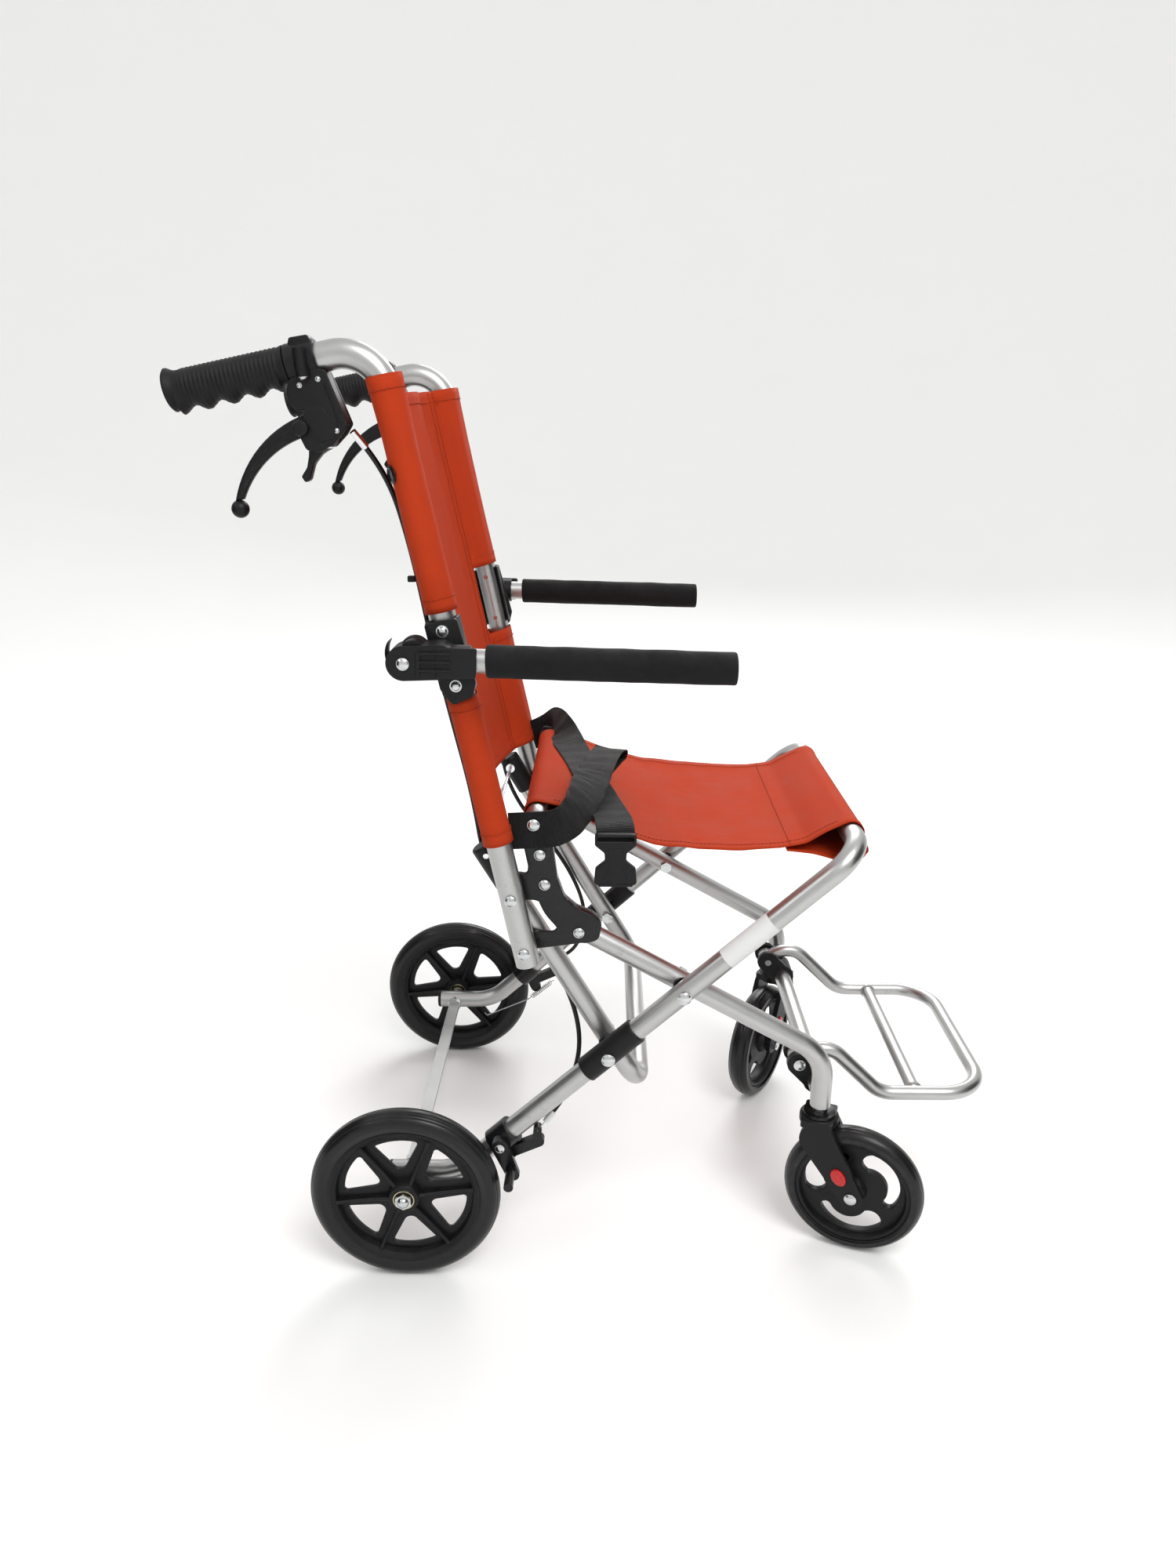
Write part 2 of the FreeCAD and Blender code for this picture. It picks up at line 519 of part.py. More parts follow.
# Footrest --------------------------------------------------------------------------------
def build_footrest():
    y = FOOT_TUBE_Y
    rise = (217.0, 219.0)
    dip = (279.0, FOOT_LEVEL)
    tube = bent_tube([at(FOOT_PIVOT, -y), at(rise, -y), at(dip, -y), Vector(FOOT_FRONT_X, -y, FOOT_LEVEL),
                      Vector(FOOT_FRONT_X, y, FOOT_LEVEL), at(dip, y), at(rise, y), at(FOOT_PIVOT, y)],
                     [30, 34, 48, 48, 34, 30], FOOT_R, 0)
    rung = rod(Vector(FOOT_RUNG_X, -y, FOOT_LEVEL), Vector(FOOT_RUNG_X, y, FOOT_LEVEL), FOOT_R - 0.5)
    ends = [cross_rod(FOOT_PIVOT, s * (y - FOOT_R), s * (y + FOOT_R), FOOT_R + 1.5) for s in (-1, 1)]
    frame = tube.fuse([rung] + ends)
    for s in (-1, 1):
        frame = frame.cut(cross_rod(FOOT_PIVOT, s * (y - 20), s * (y + 20), M8_R + RUNNING))
    keep("footrest_frame", frame.removeSplitter())

    brackets, bolts = [], []
    cross_xz = (CASTER_X, FOOT_CROSS_Z)
    for s in SIDES.values():
        inner = bar(FOOT_PIVOT, cross_xz, 13.0, s * (y - 15), s * (y - FOOT_R - 1.6))
        outer = bar(FOOT_PIVOT, cross_xz, 13.0, s * (y + FOOT_R + 1.6), s * (y + 17))
        web = cross_rod(cross_xz, s * (y - 15), s * (y + 17), 14.5)
        bracket = inner.fuse([outer, web])
        bracket = bracket.cut(cross_rod(cross_xz, -160, 160, 10.02))
        bracket = bracket.cut(cross_rod(FOOT_PIVOT, -160, 160, M8_R))
        brackets.append(bracket.removeSplitter())
        bolts.append(dome_bolt(FOOT_PIVOT, s * (y + 17.1), s * (y - 18), M8_R - BOLT_FIT, 6.5))
    keep("footrest_brackets", brackets)
    reach = BACK_TUBE_Y - TUBE_R - 0.05
    keep("footrest_cross_tube", rod(at(cross_xz, -reach), at(cross_xz, reach), 10.0, 8.4))
    return bolts


# Wheels --------------------------------------------------------------------------------
def tyre_profile(radius, depth, width):
    """Tyre section as (radius, along) points: crowned tread, straight bead."""
    half = width / 2
    crown = [(math.cos(math.radians(a)), math.sin(math.radians(a))) for a in range(-90, 91, 15)]
    points = [(radius - half + half * c, half * s) for c, s in crown]
    return points + [(radius - depth, half - 2.5), (radius - depth, -half + 2.5)]


def rear_wheel(centre):
    """Eight inch wheel: six ribbed spokes between a hub and the rim."""
    tyre = spin(tyre_profile(REAR_WHEEL_R, 20, TYRE_W), centre)
    rim_out = REAR_WHEEL_R - 20 - RIM_BED
    ring = spin([(rim_out, -11), (rim_out, 11), (rim_out - 9, 10), (rim_out - 9, -10)], centre)
    hub = spin([(5.0 + RUNNING, -14), (17, -14), (17, 14), (5.0 + RUNNING, 14)], centre)
    rim = ring.fuse(hub)
    for i in range(SPOKES):
        angle = 360 / SPOKES * i - SPOKE_TURN
        spoke = Part.makeBox(rim_out - 4 - 14, 7, 15, Vector(14, -3.5, -7.5))
        rib = Part.makeBox(rim_out - 4 - 14, 20, 4, Vector(14, -10, -2))
        both = spoke.fuse(rib)
        both.rotate(Vector(0, 0, 0), Vector(0, 1, 0), angle)
        both.translate(centre)
        rim = rim.fuse(both)
    rim = rim.cut(Part.makeCylinder(5.0 + RUNNING, 60, centre - Vector(0, 30, 0), Vector(0, 1, 0)))
    return tyre, rim.removeSplitter()


def crescent(centre, turn, y0, y1):
    """Curved window between the caster's hub and rim."""
    def p(radius, angle):
        a = math.radians(angle + turn)
        return Vector(centre.x + radius * math.cos(a), y0, centre.z + radius * math.sin(a))
    outer = Part.Arc(p(51, 0), p(52, 42), p(44, 84)).toShape()
    nose = Part.Arc(p(44, 84), p(38, 88), p(34, 80)).toShape()
    inner = Part.Arc(p(34, 80), p(37, 42), p(29, 8)).toShape()
    tail = Part.Arc(p(29, 8), p(40, -8), p(51, 0)).toShape()
    face = Part.Face(Part.Wire([outer, nose, inner, tail]))
    return face.extrude(Vector(0, y1 - y0, 0))


def caster(side):
    """Caster in its own plane, stem at the origin, trail along +X; turned and placed afterwards."""
    y = SIDES[side] * BACK_TUBE_Y
    hub = Vector(CASTER_TRAIL, 0, CASTER_R)
    axle = (CASTER_TRAIL, CASTER_R)
    tyre = spin(tyre_profile(CASTER_R, 13, TYRE_W - 1), hub)
    rim_out = CASTER_R - 13 - RIM_BED
    ring = spin([(rim_out, -10), (rim_out, 10), (rim_out - 6, 9), (rim_out - 6, -9)], hub)
    web = spin([(4, -3.5), (rim_out - 3, -3.5), (rim_out - 3, 3.5), (4, 3.5)], hub)
    boss = spin([(4, -13), (13, -13), (13, 13), (4, 13)], hub)
    rim = ring.fuse([web, boss])
    for i in range(3):
        rim = rim.cut(crescent(hub, 120 * i + 10, -20, 20))
    rim = rim.cut(Part.makeCylinder(M8_R + RUNNING, 60, hub - Vector(0, 30, 0), Vector(0, 1, 0)))

    crown_top, crown_low = 160.0, 151.0
    leg_in, leg_out = 15.0, 21.0
    crown = Part.makeCylinder(21.0, crown_top - crown_low, Vector(0, 0, crown_low))
    crown = rounded(crown, 3.0, lambda e: abs(e.BoundBox.ZMin - crown_top) < 0.01 and e.Length > 60)
    legs = []
    for s in (-1, 1):
        leg = taper((2.0, 138.0), axle, 19.0, 12.5, s * leg_in, s * leg_out)
        legs.append(leg.common(Part.makeBox(300, 300, crown_top, Vector(-150, -150, 0))))
    yoke = Part.makeBox(34, 2 * leg_out, 8, Vector(-17, -leg_out, crown_low))
    yoke = rounded(yoke, 3.0, lambda e: abs(e.BoundBox.ZLength - 8) < 0.01)
    fork = crown.fuse(legs + [yoke])
    fork = fork.cut(Part.makeCylinder(6.0, 40, Vector(0, 0, 140)))
    fork = fork.cut(cross_rod(axle, -40, 40, 4.0)).removeSplitter()

    stem = Part.makeCylinder(5.98, 20, Vector(0, 0, crown_low))
    collar = Part.makeCylinder(8.0, BACK_FOOT_Z - crown_top - 0.8, Vector(0, 0, crown_top + 0.05))
    journal = Part.makeCylinder(TUBE_R - WALL - RUNNING, 34, Vector(0, 0, BACK_FOOT_Z - 0.8))
    stem = stem.fuse([collar, journal]).removeSplitter()
    bolt = dome_bolt(axle, -leg_out - 0.1, leg_out + 7, M8_R - BOLT_FIT, 6.5)
    nut = hex_nut(axle, leg_out + 0.1, leg_out + 6, 13).cut(cross_rod(axle, 0, 60, 4.0))
    facing = SIDES[side]
    eye = polar(axle, 24.0, 122.0)
    lens = cross_rod(eye, facing * (leg_out + 0.05), facing * (leg_out + 1.6), 7.0)
    lens = lens.fuse(cross_rod(polar(eye, 7.0, 122.0), facing * (leg_out + 0.05), facing * (leg_out + 1.6), 7.0))
    pieces = {"caster_tyre": tyre, "caster_rim": rim.removeSplitter(), "caster_fork": fork,
              "caster_hardware": Part.makeCompound([stem, bolt, nut]),
              "caster_reflector": lens.removeSplitter()}
    for name, shape in pieces.items():
        shape.rotate(Vector(0, 0, 0), Vector(0, 0, 1), CASTER_TURN[side])
        shape.translate(Vector(CASTER_X, y, 0))
        keep(name + "_" + side, [Part.Solid(s) if s.ShapeType != "Solid" else s for s in shape.Solids])


def build_wheels():
    for side, s in SIDES.items():
        tyre, rim = rear_wheel(Vector(REAR_AXLE[0], s * WHEEL_PLANE_Y, REAR_AXLE[1]))
        keep("rear_tyre_" + side, tyre)
        keep("rear_rim_" + side, rim)
        caster(side)


# Wheel brakes --------------------------------------------------------------------------------

def build_wheel_brake():
    y = -FRONT_TUBE_Y
    tube_dir = math.radians(FRONT_RISE)
    centre = (BRAKE_PIVOT[0] + 2, CROSS[1] - (CROSS[0] - BRAKE_PIVOT[0] - 2) * slope)
    along = Vector(math.cos(tube_dir), 0, math.sin(tube_dir))
    block_mid = at(centre, y)
    block = rod(block_mid - along * 13, block_mid + along * 13, TUBE_R + 4.0, TUBE_R + BOLT_FIT)
    lug = bar(centre, BRAKE_PIVOT, 9.0, y - TUBE_R - 4, y - TUBE_R - 0.5)
    rest = bar((centre[0] + 8, centre[1] - 16), (-99.0, 143.0), 6.0, y - 8, y + 1)
    link = bar(centre, (centre[0] + 8, centre[1] - 16), 7.0, y - 8, y + 1)
    stop = bar((-101.0, 143.0), (-100.0, 157.0), 4.5, y - 8, y + 1)
    mount = block.fuse([lug, rest, link, stop])
    mount = mount.cut(rod(block_mid - along * 40, block_mid + along * 60, TUBE_R + BOLT_FIT))
    mount = mount.cut(cross_rod(BRAKE_PIVOT, y - 60, y, 3.0))
    mount = mount.removeSplitter()
    keep("wheel_brake_mounts", [mount, mirrored(mount)])
    arm = taper(BRAKE_PIVOT, (-126.0, 111.0), 9.0, 7.0, y - TUBE_R - 10.5, y - TUBE_R - 4.4)
    arm = arm.cut(cross_rod(BRAKE_PIVOT, y - 60, y, M6_R + RUNNING))
    shoe = cross_rod((-128.5, 117.0), y - TUBE_R - 10.5, y - 50, 5.0)
    keep_pair("wheel_brake_arm", arm.fuse(shoe).removeSplitter())
    return [dome_bolt(BRAKE_PIVOT, y - TUBE_R - 10.9, y - TUBE_R - 0.6, M6_R - BOLT_FIT, 5.0)]


# Brace: U tube from its cross bar, through its hinge, up to the locking ends ----------------------
def build_brace():
    y = BRACE_TUBE_Y
    tube = bent_tube([at(BRACE_TOP, -y), at(BRACE_BAR, -y), at(BRACE_BAR, y), at(BRACE_TOP, y)], [30, 30], TUBE_R)
    for s in SIDES.values():
        tube = holes(tube, [BRACE_PIVOT], s * (y - 15), s * (y + 15), M8_R - BOLT_FIT + RUNNING)
    keep("brace_tube", tube)
    caps = []
    pin_xz = polar(BRACE_PIVOT, BRACE_UP + 6, BRACE_RISE)
    for s in SIDES.values():
        low = at(polar(BRACE_TOP, -34, BRACE_RISE), s * y)
        top = at(polar(BRACE_TOP, 16, BRACE_RISE), s * y)
        cap = rounded(rod(low, top, TUBE_R + 1.5), 3.0, lambda e: e.Length > 60)
        cap = cap.cut(rod(low - (top - low), at(BRACE_TOP, s * y), TUBE_R + BOLT_FIT))
        caps.append(cap.cut(cross_rod(pin_xz, s * (y - 30), s * (y + 30), M6_R + RUNNING)))
    keep("brace_end_caps", caps)
    for side, s in SIDES.items():
        pin = cross_rod(pin_xz, s * (y + 11.5), s * (y - 26), 3.0)
        pin = pin.fuse(cross_rod(pin_xz, s * (y - 21), s * (y - 26), 5.5))
        pin = pin.cut(cross_rod(pin_xz, s * (y - 7), s * (y - 26), 1.6))
        keep("lock_pin_" + side, pin)
    wire = [at(pin_xz, -(y - 15)), at(pin_xz, -(y - 60)), Vector(pin_xz[0] - 8, 0, pin_xz[1] - 26),
            at(pin_xz, y - 60), at(pin_xz, y - 15)]
    keep("release_wire", bent_tube(wire, [60, 120, 60], 1.4, 0))


# Fasteners of the back frame ----------------------------------------------------------------------
def build_back_fasteners(extra_right):
    bolts = []
    y = FRONT_TUBE_Y
    for s in SIDES.values():
        for xz in BACKREST_BOLTS:
            bolts.append(dome_bolt(xz, s * (y + BACKREST_R + 0.1), s * (BRACE_TUBE_Y + TUBE_R + 2.6), M6_R - BOLT_FIT, 6.0))
        for xz in BRACKET_BOLTS:
            bolts.append(dome_bolt(xz, s * (y - BACKREST_R - 0.2), s * (BACK_TUBE_Y - TUBE_R - 3), M6_R - BOLT_FIT, 5.5))
        bolts.append(dome_bolt(STRAP_BOLT, s * (y - BACKREST_R + 3.2), s * (BACK_TUBE_Y + TUBE_R + 0.5), M6_R - BOLT_FIT, 6.0))
        for xz in ARM_BOLTS:
            bolts.append(dome_bolt(xz, s * (ARM_Y - 14.4 - BOLT_RECESS), s * (y - BACKREST_R - 2), M5_R - BOLT_FIT, 5.0))
    for shape in extra_right:
        bolts.extend([shape, mirrored(shape)])
    return bolts


# Fabric and belt: plain closed solids -------------------------------------------------------------
def fabric_strip(centres, half_y, thick):
    """A sheet of constant thickness whose X, Z centre line is given, as wide as 2 half_y."""
    left, right = [], []
    count = len(centres)
    for i, point in enumerate(centres):
        before = centres[max(i - 1, 0)]
        after = centres[min(i + 1, count - 1)]
        direction = Vector(after[0] - before[0], 0, after[1] - before[1]).normalize()
        normal = Vector(-direction.z, 0, direction.x) * (thick / 2)
        left.append((point[0] + normal.x, point[1] + normal.z))
        right.append((point[0] - normal.x, point[1] - normal.z))
    return plate(left + right[::-1], -half_y, half_y)


def build_seat():
    """Slung seat: a loop round each bar and a sagging panel between."""
    half = SEAT_HALF
    bed = TUBE_R + LOOP_GAP
    loops = []
    for centre in (FRONT_BAR, REAR_BAR):
        loops.append(cross_rod(centre, -half, half, bed + CLOTH, bed))
    start = (REAR_BAR[0] + 3, REAR_BAR[1] + TUBE_R + 1.2)
    end = (FRONT_BAR[0] - 3, FRONT_BAR[1] + TUBE_R + 1.2)
    steps = 12
    line = []
    for i in range(steps + 1):
        t = i / steps
        x = start[0] + (end[0] - start[0]) * t
        z = start[1] + (end[1] - start[1]) * t - SEAT_SAG * (1 - (2 * t - 1) ** 4)
        line.append((x, z))
    panel = fabric_strip(line, half, CLOTH)
    clear = [cross_rod(c, -half - 1, half + 1, bed) for c in (FRONT_BAR, REAR_BAR)]
    seat = panel.fuse(loops)
    for cut in clear:
        seat = seat.cut(cut)
    keep("seat_fabric", seat.removeSplitter())


def build_backrest_fabric():
    """Back sling: sleeves over both tubes joined by a panel that bows to the rear."""
    foot, top = BACK_CLOTH
    gap_low, gap_high = SLEEVE_GAP
    y = FRONT_TUBE_Y
    inner = BACKREST_R + 0.3
    outer = inner + CLOTH
    sleeves = []
    for s in (-1, 1):
        for low, high in ((foot, gap_low), (gap_high, top)):
            a = Vector(backrest_x(low), s * y, low)
            b = Vector(backrest_x(high), s * y, high)
            sleeves.append(rod(a, b, outer, inner))
    lean_dir = Vector(backrest_x(top) - backrest_x(foot), 0, top - foot)
    low_point = Vector(backrest_x(foot), 0, foot)
    normal = Vector(-lean_dir.z, 0, lean_dir.x).normalize()
    edge = y - BACKREST_R - 6
    front = normal * 3.0
    back = normal * (3.0 + CLOTH)
    a = [low_point + Vector(0, -edge, 0) + front, low_point + normal * BACK_BOW, low_point + Vector(0, edge, 0) + front]
    b = [low_point + Vector(0, edge, 0) + back, low_point + normal * (BACK_BOW + CLOTH),
         low_point + Vector(0, -edge, 0) + back]
    wire = Part.Wire([Part.Arc(*a).toShape(), Part.LineSegment(a[2], b[0]).toShape(), Part.Arc(*b).toShape(),
                      Part.LineSegment(b[2], a[0]).toShape()])
    panel = Part.Face(wire).extrude(lean_dir)
    wings = []
    for s in (-1, 1):
        for low, high in ((foot, gap_low), (gap_high, top)):
            base = Vector(backrest_x(low), 0, low)
            rise = Vector(backrest_x(high) - backrest_x(low), 0, high - low)
            corners = [base + Vector(0, s * (edge - 1), 0) + front, base + Vector(0, s * (edge - 1), 0) + back,
                       base + Vector(0, s * (y - BACKREST_R + 0.5), 0) + back,
                       base + Vector(0, s * (y - BACKREST_R + 0.5), 0) + front]
            wings.append(Part.Face(Part.makePolygon(corners + corners[:1])).extrude(rise))
    sling = panel.fuse(sleeves + wings)
    for s in (-1, 1):
        sling = sling.cut(rod(Vector(backrest_x(400), s * y, 400), Vector(backrest_x(960), s * y, 960), inner))
    keep("backrest_fabric", sling.removeSplitter())


def ribbon(points, radii, width, thick):
    """Webbing whose path lies in one upright plane; its width is level and square to the path."""
    ahead = (points[1] - points[0]).normalize()
    plan = Vector(points[-1].x - points[0].x, points[-1].y - points[0].y, 0).normalize()
    across = Vector(-plan.y, plan.x, 0) * (width / 2)
    up = ahead.cross(across).normalize() * (thick / 2)
    corners = [points[0] + across + up, points[0] - across + up, points[0] - across - up, points[0] + across - up]
    return path(points, radii).makePipe(Part.Face(Part.makePolygon(corners + corners[:1])))


def in_plane(start, end, stations):
    """Points of an upright plane from start to end: (share of the way, height) pairs."""
    return [Vector(start[0] + (end[0] - start[0]) * t, start[1] + (end[1] - start[1]) * t, z) for t, z in stations]


def build_belt():
    """Lap belt: a short half from the right bracket, a long one that lies across the seat, and the buckle."""
    thick, width = CLOTH, BELT_W
    y0 = FRONT_TUBE_Y - BACKREST_R + 0.3
    halves = []
    for s in SIDES.values():
        tab = bar((-102.0, 494.0), (-82.0, 498.0), width / 2, s * y0, s * (y0 + thick))
        halves.append(tab.cut(cross_rod(STRAP_BOLT, s * 150, s * 190, 3.0)))
    right = in_plane((-78.0, -157.0), (-52.0, -62.0), [(0.0, 511.0), (0.3, 519.0), (1.0, 501.0)])
    left = in_plane((-82.0, 157.0), (-24.0, -176.0), [(0.0, 511.0), (0.1, 517.0), (0.5, 505.0), (0.86, 512.0),
                                                     (0.985, 500.0), (1.0, 484.0)])
    halves.append(ribbon(right, [10], width, thick))
    halves.append(ribbon(left, [14, 60, 40, 8], width, thick))
    keep("lap_belt", halves)
    y = -177.5
    outline = [(-44.0, 483.0), (-4.0, 483.0), (-4.0, 474.0), (-12.0, 468.0), (-14.0, 458.0), (-6.0, 450.0),
               (-3.0, 444.0), (-3.0, 432.0), (-45.0, 432.0), (-45.0, 444.0), (-42.0, 450.0), (-34.0, 458.0),
               (-36.0, 468.0), (-44.0, 474.0)]
    keep("belt_buckle", plate(outline, y - 3.5, y + 3.5))


def build_cables():
    """Brake cables from the housings, down behind the backrest and inside the brace, to the wheel brakes."""
    for side, s in SIDES.items():
        points = [Vector(x, s * y, z) for x, y, z in CABLE_ROUTE]
        radii = []
        for before, corner, after in zip(points, points[1:], points[2:]):
            turn = math.pi - (before - corner).getAngle(after - corner)
            shorter = min((before - corner).Length, (after - corner).Length)
            radii.append(0.45 * shorter / math.tan(turn / 2))
        wire = path(points, radii)
        cable = wire.makePipe(disc(points[0], points[1] - points[0], CABLE_R))
        print("cable", side, "length", round(wire.Length, 1))
        keep("brake_cable_" + side, cable)


def main():
    build_front_frame()
    build_back_frame()
    build_side_bracket()
    grip_front, axis = build_backrest()
    lever_pins = build_hand_brake(grip_front, axis)
    arm_pins = build_armrest()
    foot_bolts = build_footrest()
    build_wheels()
    brake_bolts = build_wheel_brake()
    build_brace()
    build_seat()
    build_backrest_fabric()
    build_belt()
    build_cables()
    fasteners = build_back_fasteners(lever_pins + arm_pins)
    keep("back_frame_fasteners", fasteners + foot_bolts)
    front = NODES["front_frame_fasteners"].Solids + brake_bolts + [mirrored(b) for b in brake_bolts]
    keep("front_frame_fasteners", front)

    os.makedirs("parts", exist_ok=True)
    for name, shape in NODES.items():
        if not shape.isValid():
            print("not valid:", name)
        shape.exportStep(os.path.join("parts", name + ".step"))
    whole = Part.makeCompound(list(NODES.values())).BoundBox
    print("nodes", len(NODES), "box", [round(v, 1) for v in (whole.XMin, whole.YMin, whole.ZMin,
                                                           whole.XMax, whole.YMax, whole.ZMax)])


main()
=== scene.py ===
import json
import logging
import math
from dataclasses import dataclass, field
from enum import Enum
from typing import Callable, Sequence

import bmesh
import bpy
from mathutils import Matrix, Vector, noise


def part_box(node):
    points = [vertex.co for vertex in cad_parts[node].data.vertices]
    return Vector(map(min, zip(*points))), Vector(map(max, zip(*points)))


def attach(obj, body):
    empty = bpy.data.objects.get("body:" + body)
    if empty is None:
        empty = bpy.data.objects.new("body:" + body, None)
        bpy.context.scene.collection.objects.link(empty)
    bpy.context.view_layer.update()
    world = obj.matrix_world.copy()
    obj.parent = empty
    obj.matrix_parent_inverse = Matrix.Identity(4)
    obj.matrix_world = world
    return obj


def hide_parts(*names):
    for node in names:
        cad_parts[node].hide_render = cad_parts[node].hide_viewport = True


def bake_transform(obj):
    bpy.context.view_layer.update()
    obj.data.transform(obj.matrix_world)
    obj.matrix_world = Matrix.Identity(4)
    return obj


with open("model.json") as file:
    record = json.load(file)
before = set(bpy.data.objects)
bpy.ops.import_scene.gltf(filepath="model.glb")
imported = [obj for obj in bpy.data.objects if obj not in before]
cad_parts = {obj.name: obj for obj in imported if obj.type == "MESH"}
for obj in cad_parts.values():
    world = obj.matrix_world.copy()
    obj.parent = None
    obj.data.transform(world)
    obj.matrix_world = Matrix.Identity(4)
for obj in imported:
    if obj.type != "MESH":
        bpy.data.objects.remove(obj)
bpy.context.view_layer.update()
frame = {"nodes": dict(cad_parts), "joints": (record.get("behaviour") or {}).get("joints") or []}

# Looks of a folding transport wheelchair. Metres; X forward, Y to the sitter's left, Z up.

LOG = logging.getLogger("wheelchair")

Point = tuple[float, float]


class Side(Enum):
    """Which side of the chair a piece is on; the value is the sign of Y."""

    RIGHT = -1
    LEFT = 1

    @property
    def label(self) -> str:
        """The word that ends the names on this side."""
        return self.name.lower()

    def y(self, distance: float) -> float:
        """Y at a distance out from the middle plane."""
        return self.value * distance


class Slot(Enum):
    """Material slots of the record."""

    TUBE = "anodised_tube"
    PLASTIC = "moulded_plastic"
    GRIP = "grip_rubber"
    FOAM = "pad_foam"
    TYRE = "tyre_rubber"
    CLOTH = "sling_cloth"
    WEBBING = "webbing"
    ZINC = "zinc_steel"
    CABLE = "cable_sheath"
    REFLECTOR = "red_reflector"


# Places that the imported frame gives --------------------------


def pivot(joint: str) -> Vector:
    """Where a joint's axis passes.

    Args:
        joint: The joint's name.

    Returns:
        A point on the axis, in metres.
    """
    found = next(j for j in frame["joints"] if j["name"] == joint)
    return Vector(found["pos_m"])


@dataclass(frozen=True)
class Layout:
    """Driving sizes that several sub-assemblies share."""

    tube_r: float = 0.011
    backrest_r: float = 0.0125
    backrest_y: float = 0.186
    foot_x: float = -0.107
    foot_z: float = 0.35
    lean: float = math.radians(11.6)
    bend_z: float = 0.931
    handle_drop: float = math.radians(11.4)
    handle_length: float = 0.179
    front_rise: float = math.radians(42.6)
    seat_reach: float = 0.23

    @property
    def rise(self) -> Vector:
        """Direction up the backrest tubes."""
        return Vector((-math.sin(self.lean), 0, math.cos(self.lean)))

    @property
    def fore(self) -> Vector:
        """Direction forward, square to the backrest tubes."""
        return heading(self.lean)

    def on_backrest(self, y: float, z: float) -> Vector:
        """The point of the backrest tubes' plane at Y and Z."""
        return Vector((self.foot_x - (z - self.foot_z) * math.tan(self.lean), y, z))

    @property
    def handle_axis(self) -> Vector:
        """Direction of the push handles, to the rear."""
        return Vector((-math.cos(self.handle_drop), 0, -math.sin(self.handle_drop)))

    def handle_end(self, y: float) -> Vector:
        """Rear end of a push handle's tube."""
        return self.on_backrest(y, self.bend_z) + self.handle_axis * self.handle_length

    @property
    def front_bar(self) -> Vector:
        """Middle of the seat's front bar."""
        return pivot("frame_fold") + heading(self.front_rise) * self.seat_reach


LAYOUT = Layout()


# Mesh drawing ------------------------------------------------

ACROSS = Vector((0, 1, 0))


@dataclass
class Draft:
    """A mesh being drawn: points, faces and the cloth coordinates of each corner."""

    points: list[Vector] = field(default_factory=list)
    faces: list[tuple[int, ...]] = field(default_factory=list)
    corners: list[tuple[Point, ...]] = field(default_factory=list)

    def grid(
        self,
        rows: Sequence[Sequence[Vector]],
        closed: bool = False,
        keep: Callable[[int, int], bool] | None = None,
        spans: tuple[Sequence[float], Sequence[float]] | None = None,
        caps: bool = False,
    ) -> "Draft":
        """Adds a sheet of points.

        Args:
            rows: Rows of points, all of one length.
            closed: Whether each row closes on itself.
            keep: Says which (row, column) faces are made.
            spans: Cloth coordinates of the rows and of the columns, in metres.
            caps: Whether the first and last rows are filled.

        Returns:
            The draft itself.
        """
        base, width = len(self.points), len(rows[0])
        for row in rows:
            self.points.extend(Vector(p) for p in row)
        along = spans[0] if spans else [i * 0.01 for i in range(len(rows))]
        across = spans[1] if spans else [j * 0.01 for j in range(width + 1)]
        for i in range(len(rows) - 1):
            for j in range(width if closed else width - 1):
                if keep and not keep(i, j):
                    continue
                k = (j + 1) % width
                self.faces.append((base + i * width + j, base + i * width + k, base + (i + 1) * width + k,
                    base + (i + 1) * width + j))
                a, b = across[j], across[j + 1] if j + 1 < len(across) else across[-1] + 0.01
                self.corners.append(((a, along[i]), (b, along[i]), (b, along[i + 1]), (a, along[i + 1])))
        if caps:
            last = base + (len(rows) - 1) * width
            for ring in (range(base, base + width), reversed(range(last, last + width))):
                self.faces.append(tuple(ring))
                self.corners.append(tuple((0.0, 0.0) for _ in range(width)))
        return self

    def merge(self, other: "Draft") -> "Draft":
        """Adds another draft's points and faces to this one."""
        base = len(self.points)
        self.points.extend(other.points)
        self.faces.extend(tuple(base + v for v in face) for face in other.faces)
        self.corners.extend(other.corners)
        return self

    def plate(self, outline: Sequence[Point], y0: float, y1: float, edge: float) -> "Draft":
        """Adds a flat piece without openings."""
        return self.merge(Plate(outline, y0, y1, edge).draw())

    def moved(self, change: Matrix) -> "Draft":
        """A copy of the draft with its points transformed."""
        return Draft([change @ p for p in self.points], list(self.faces), list(self.corners))


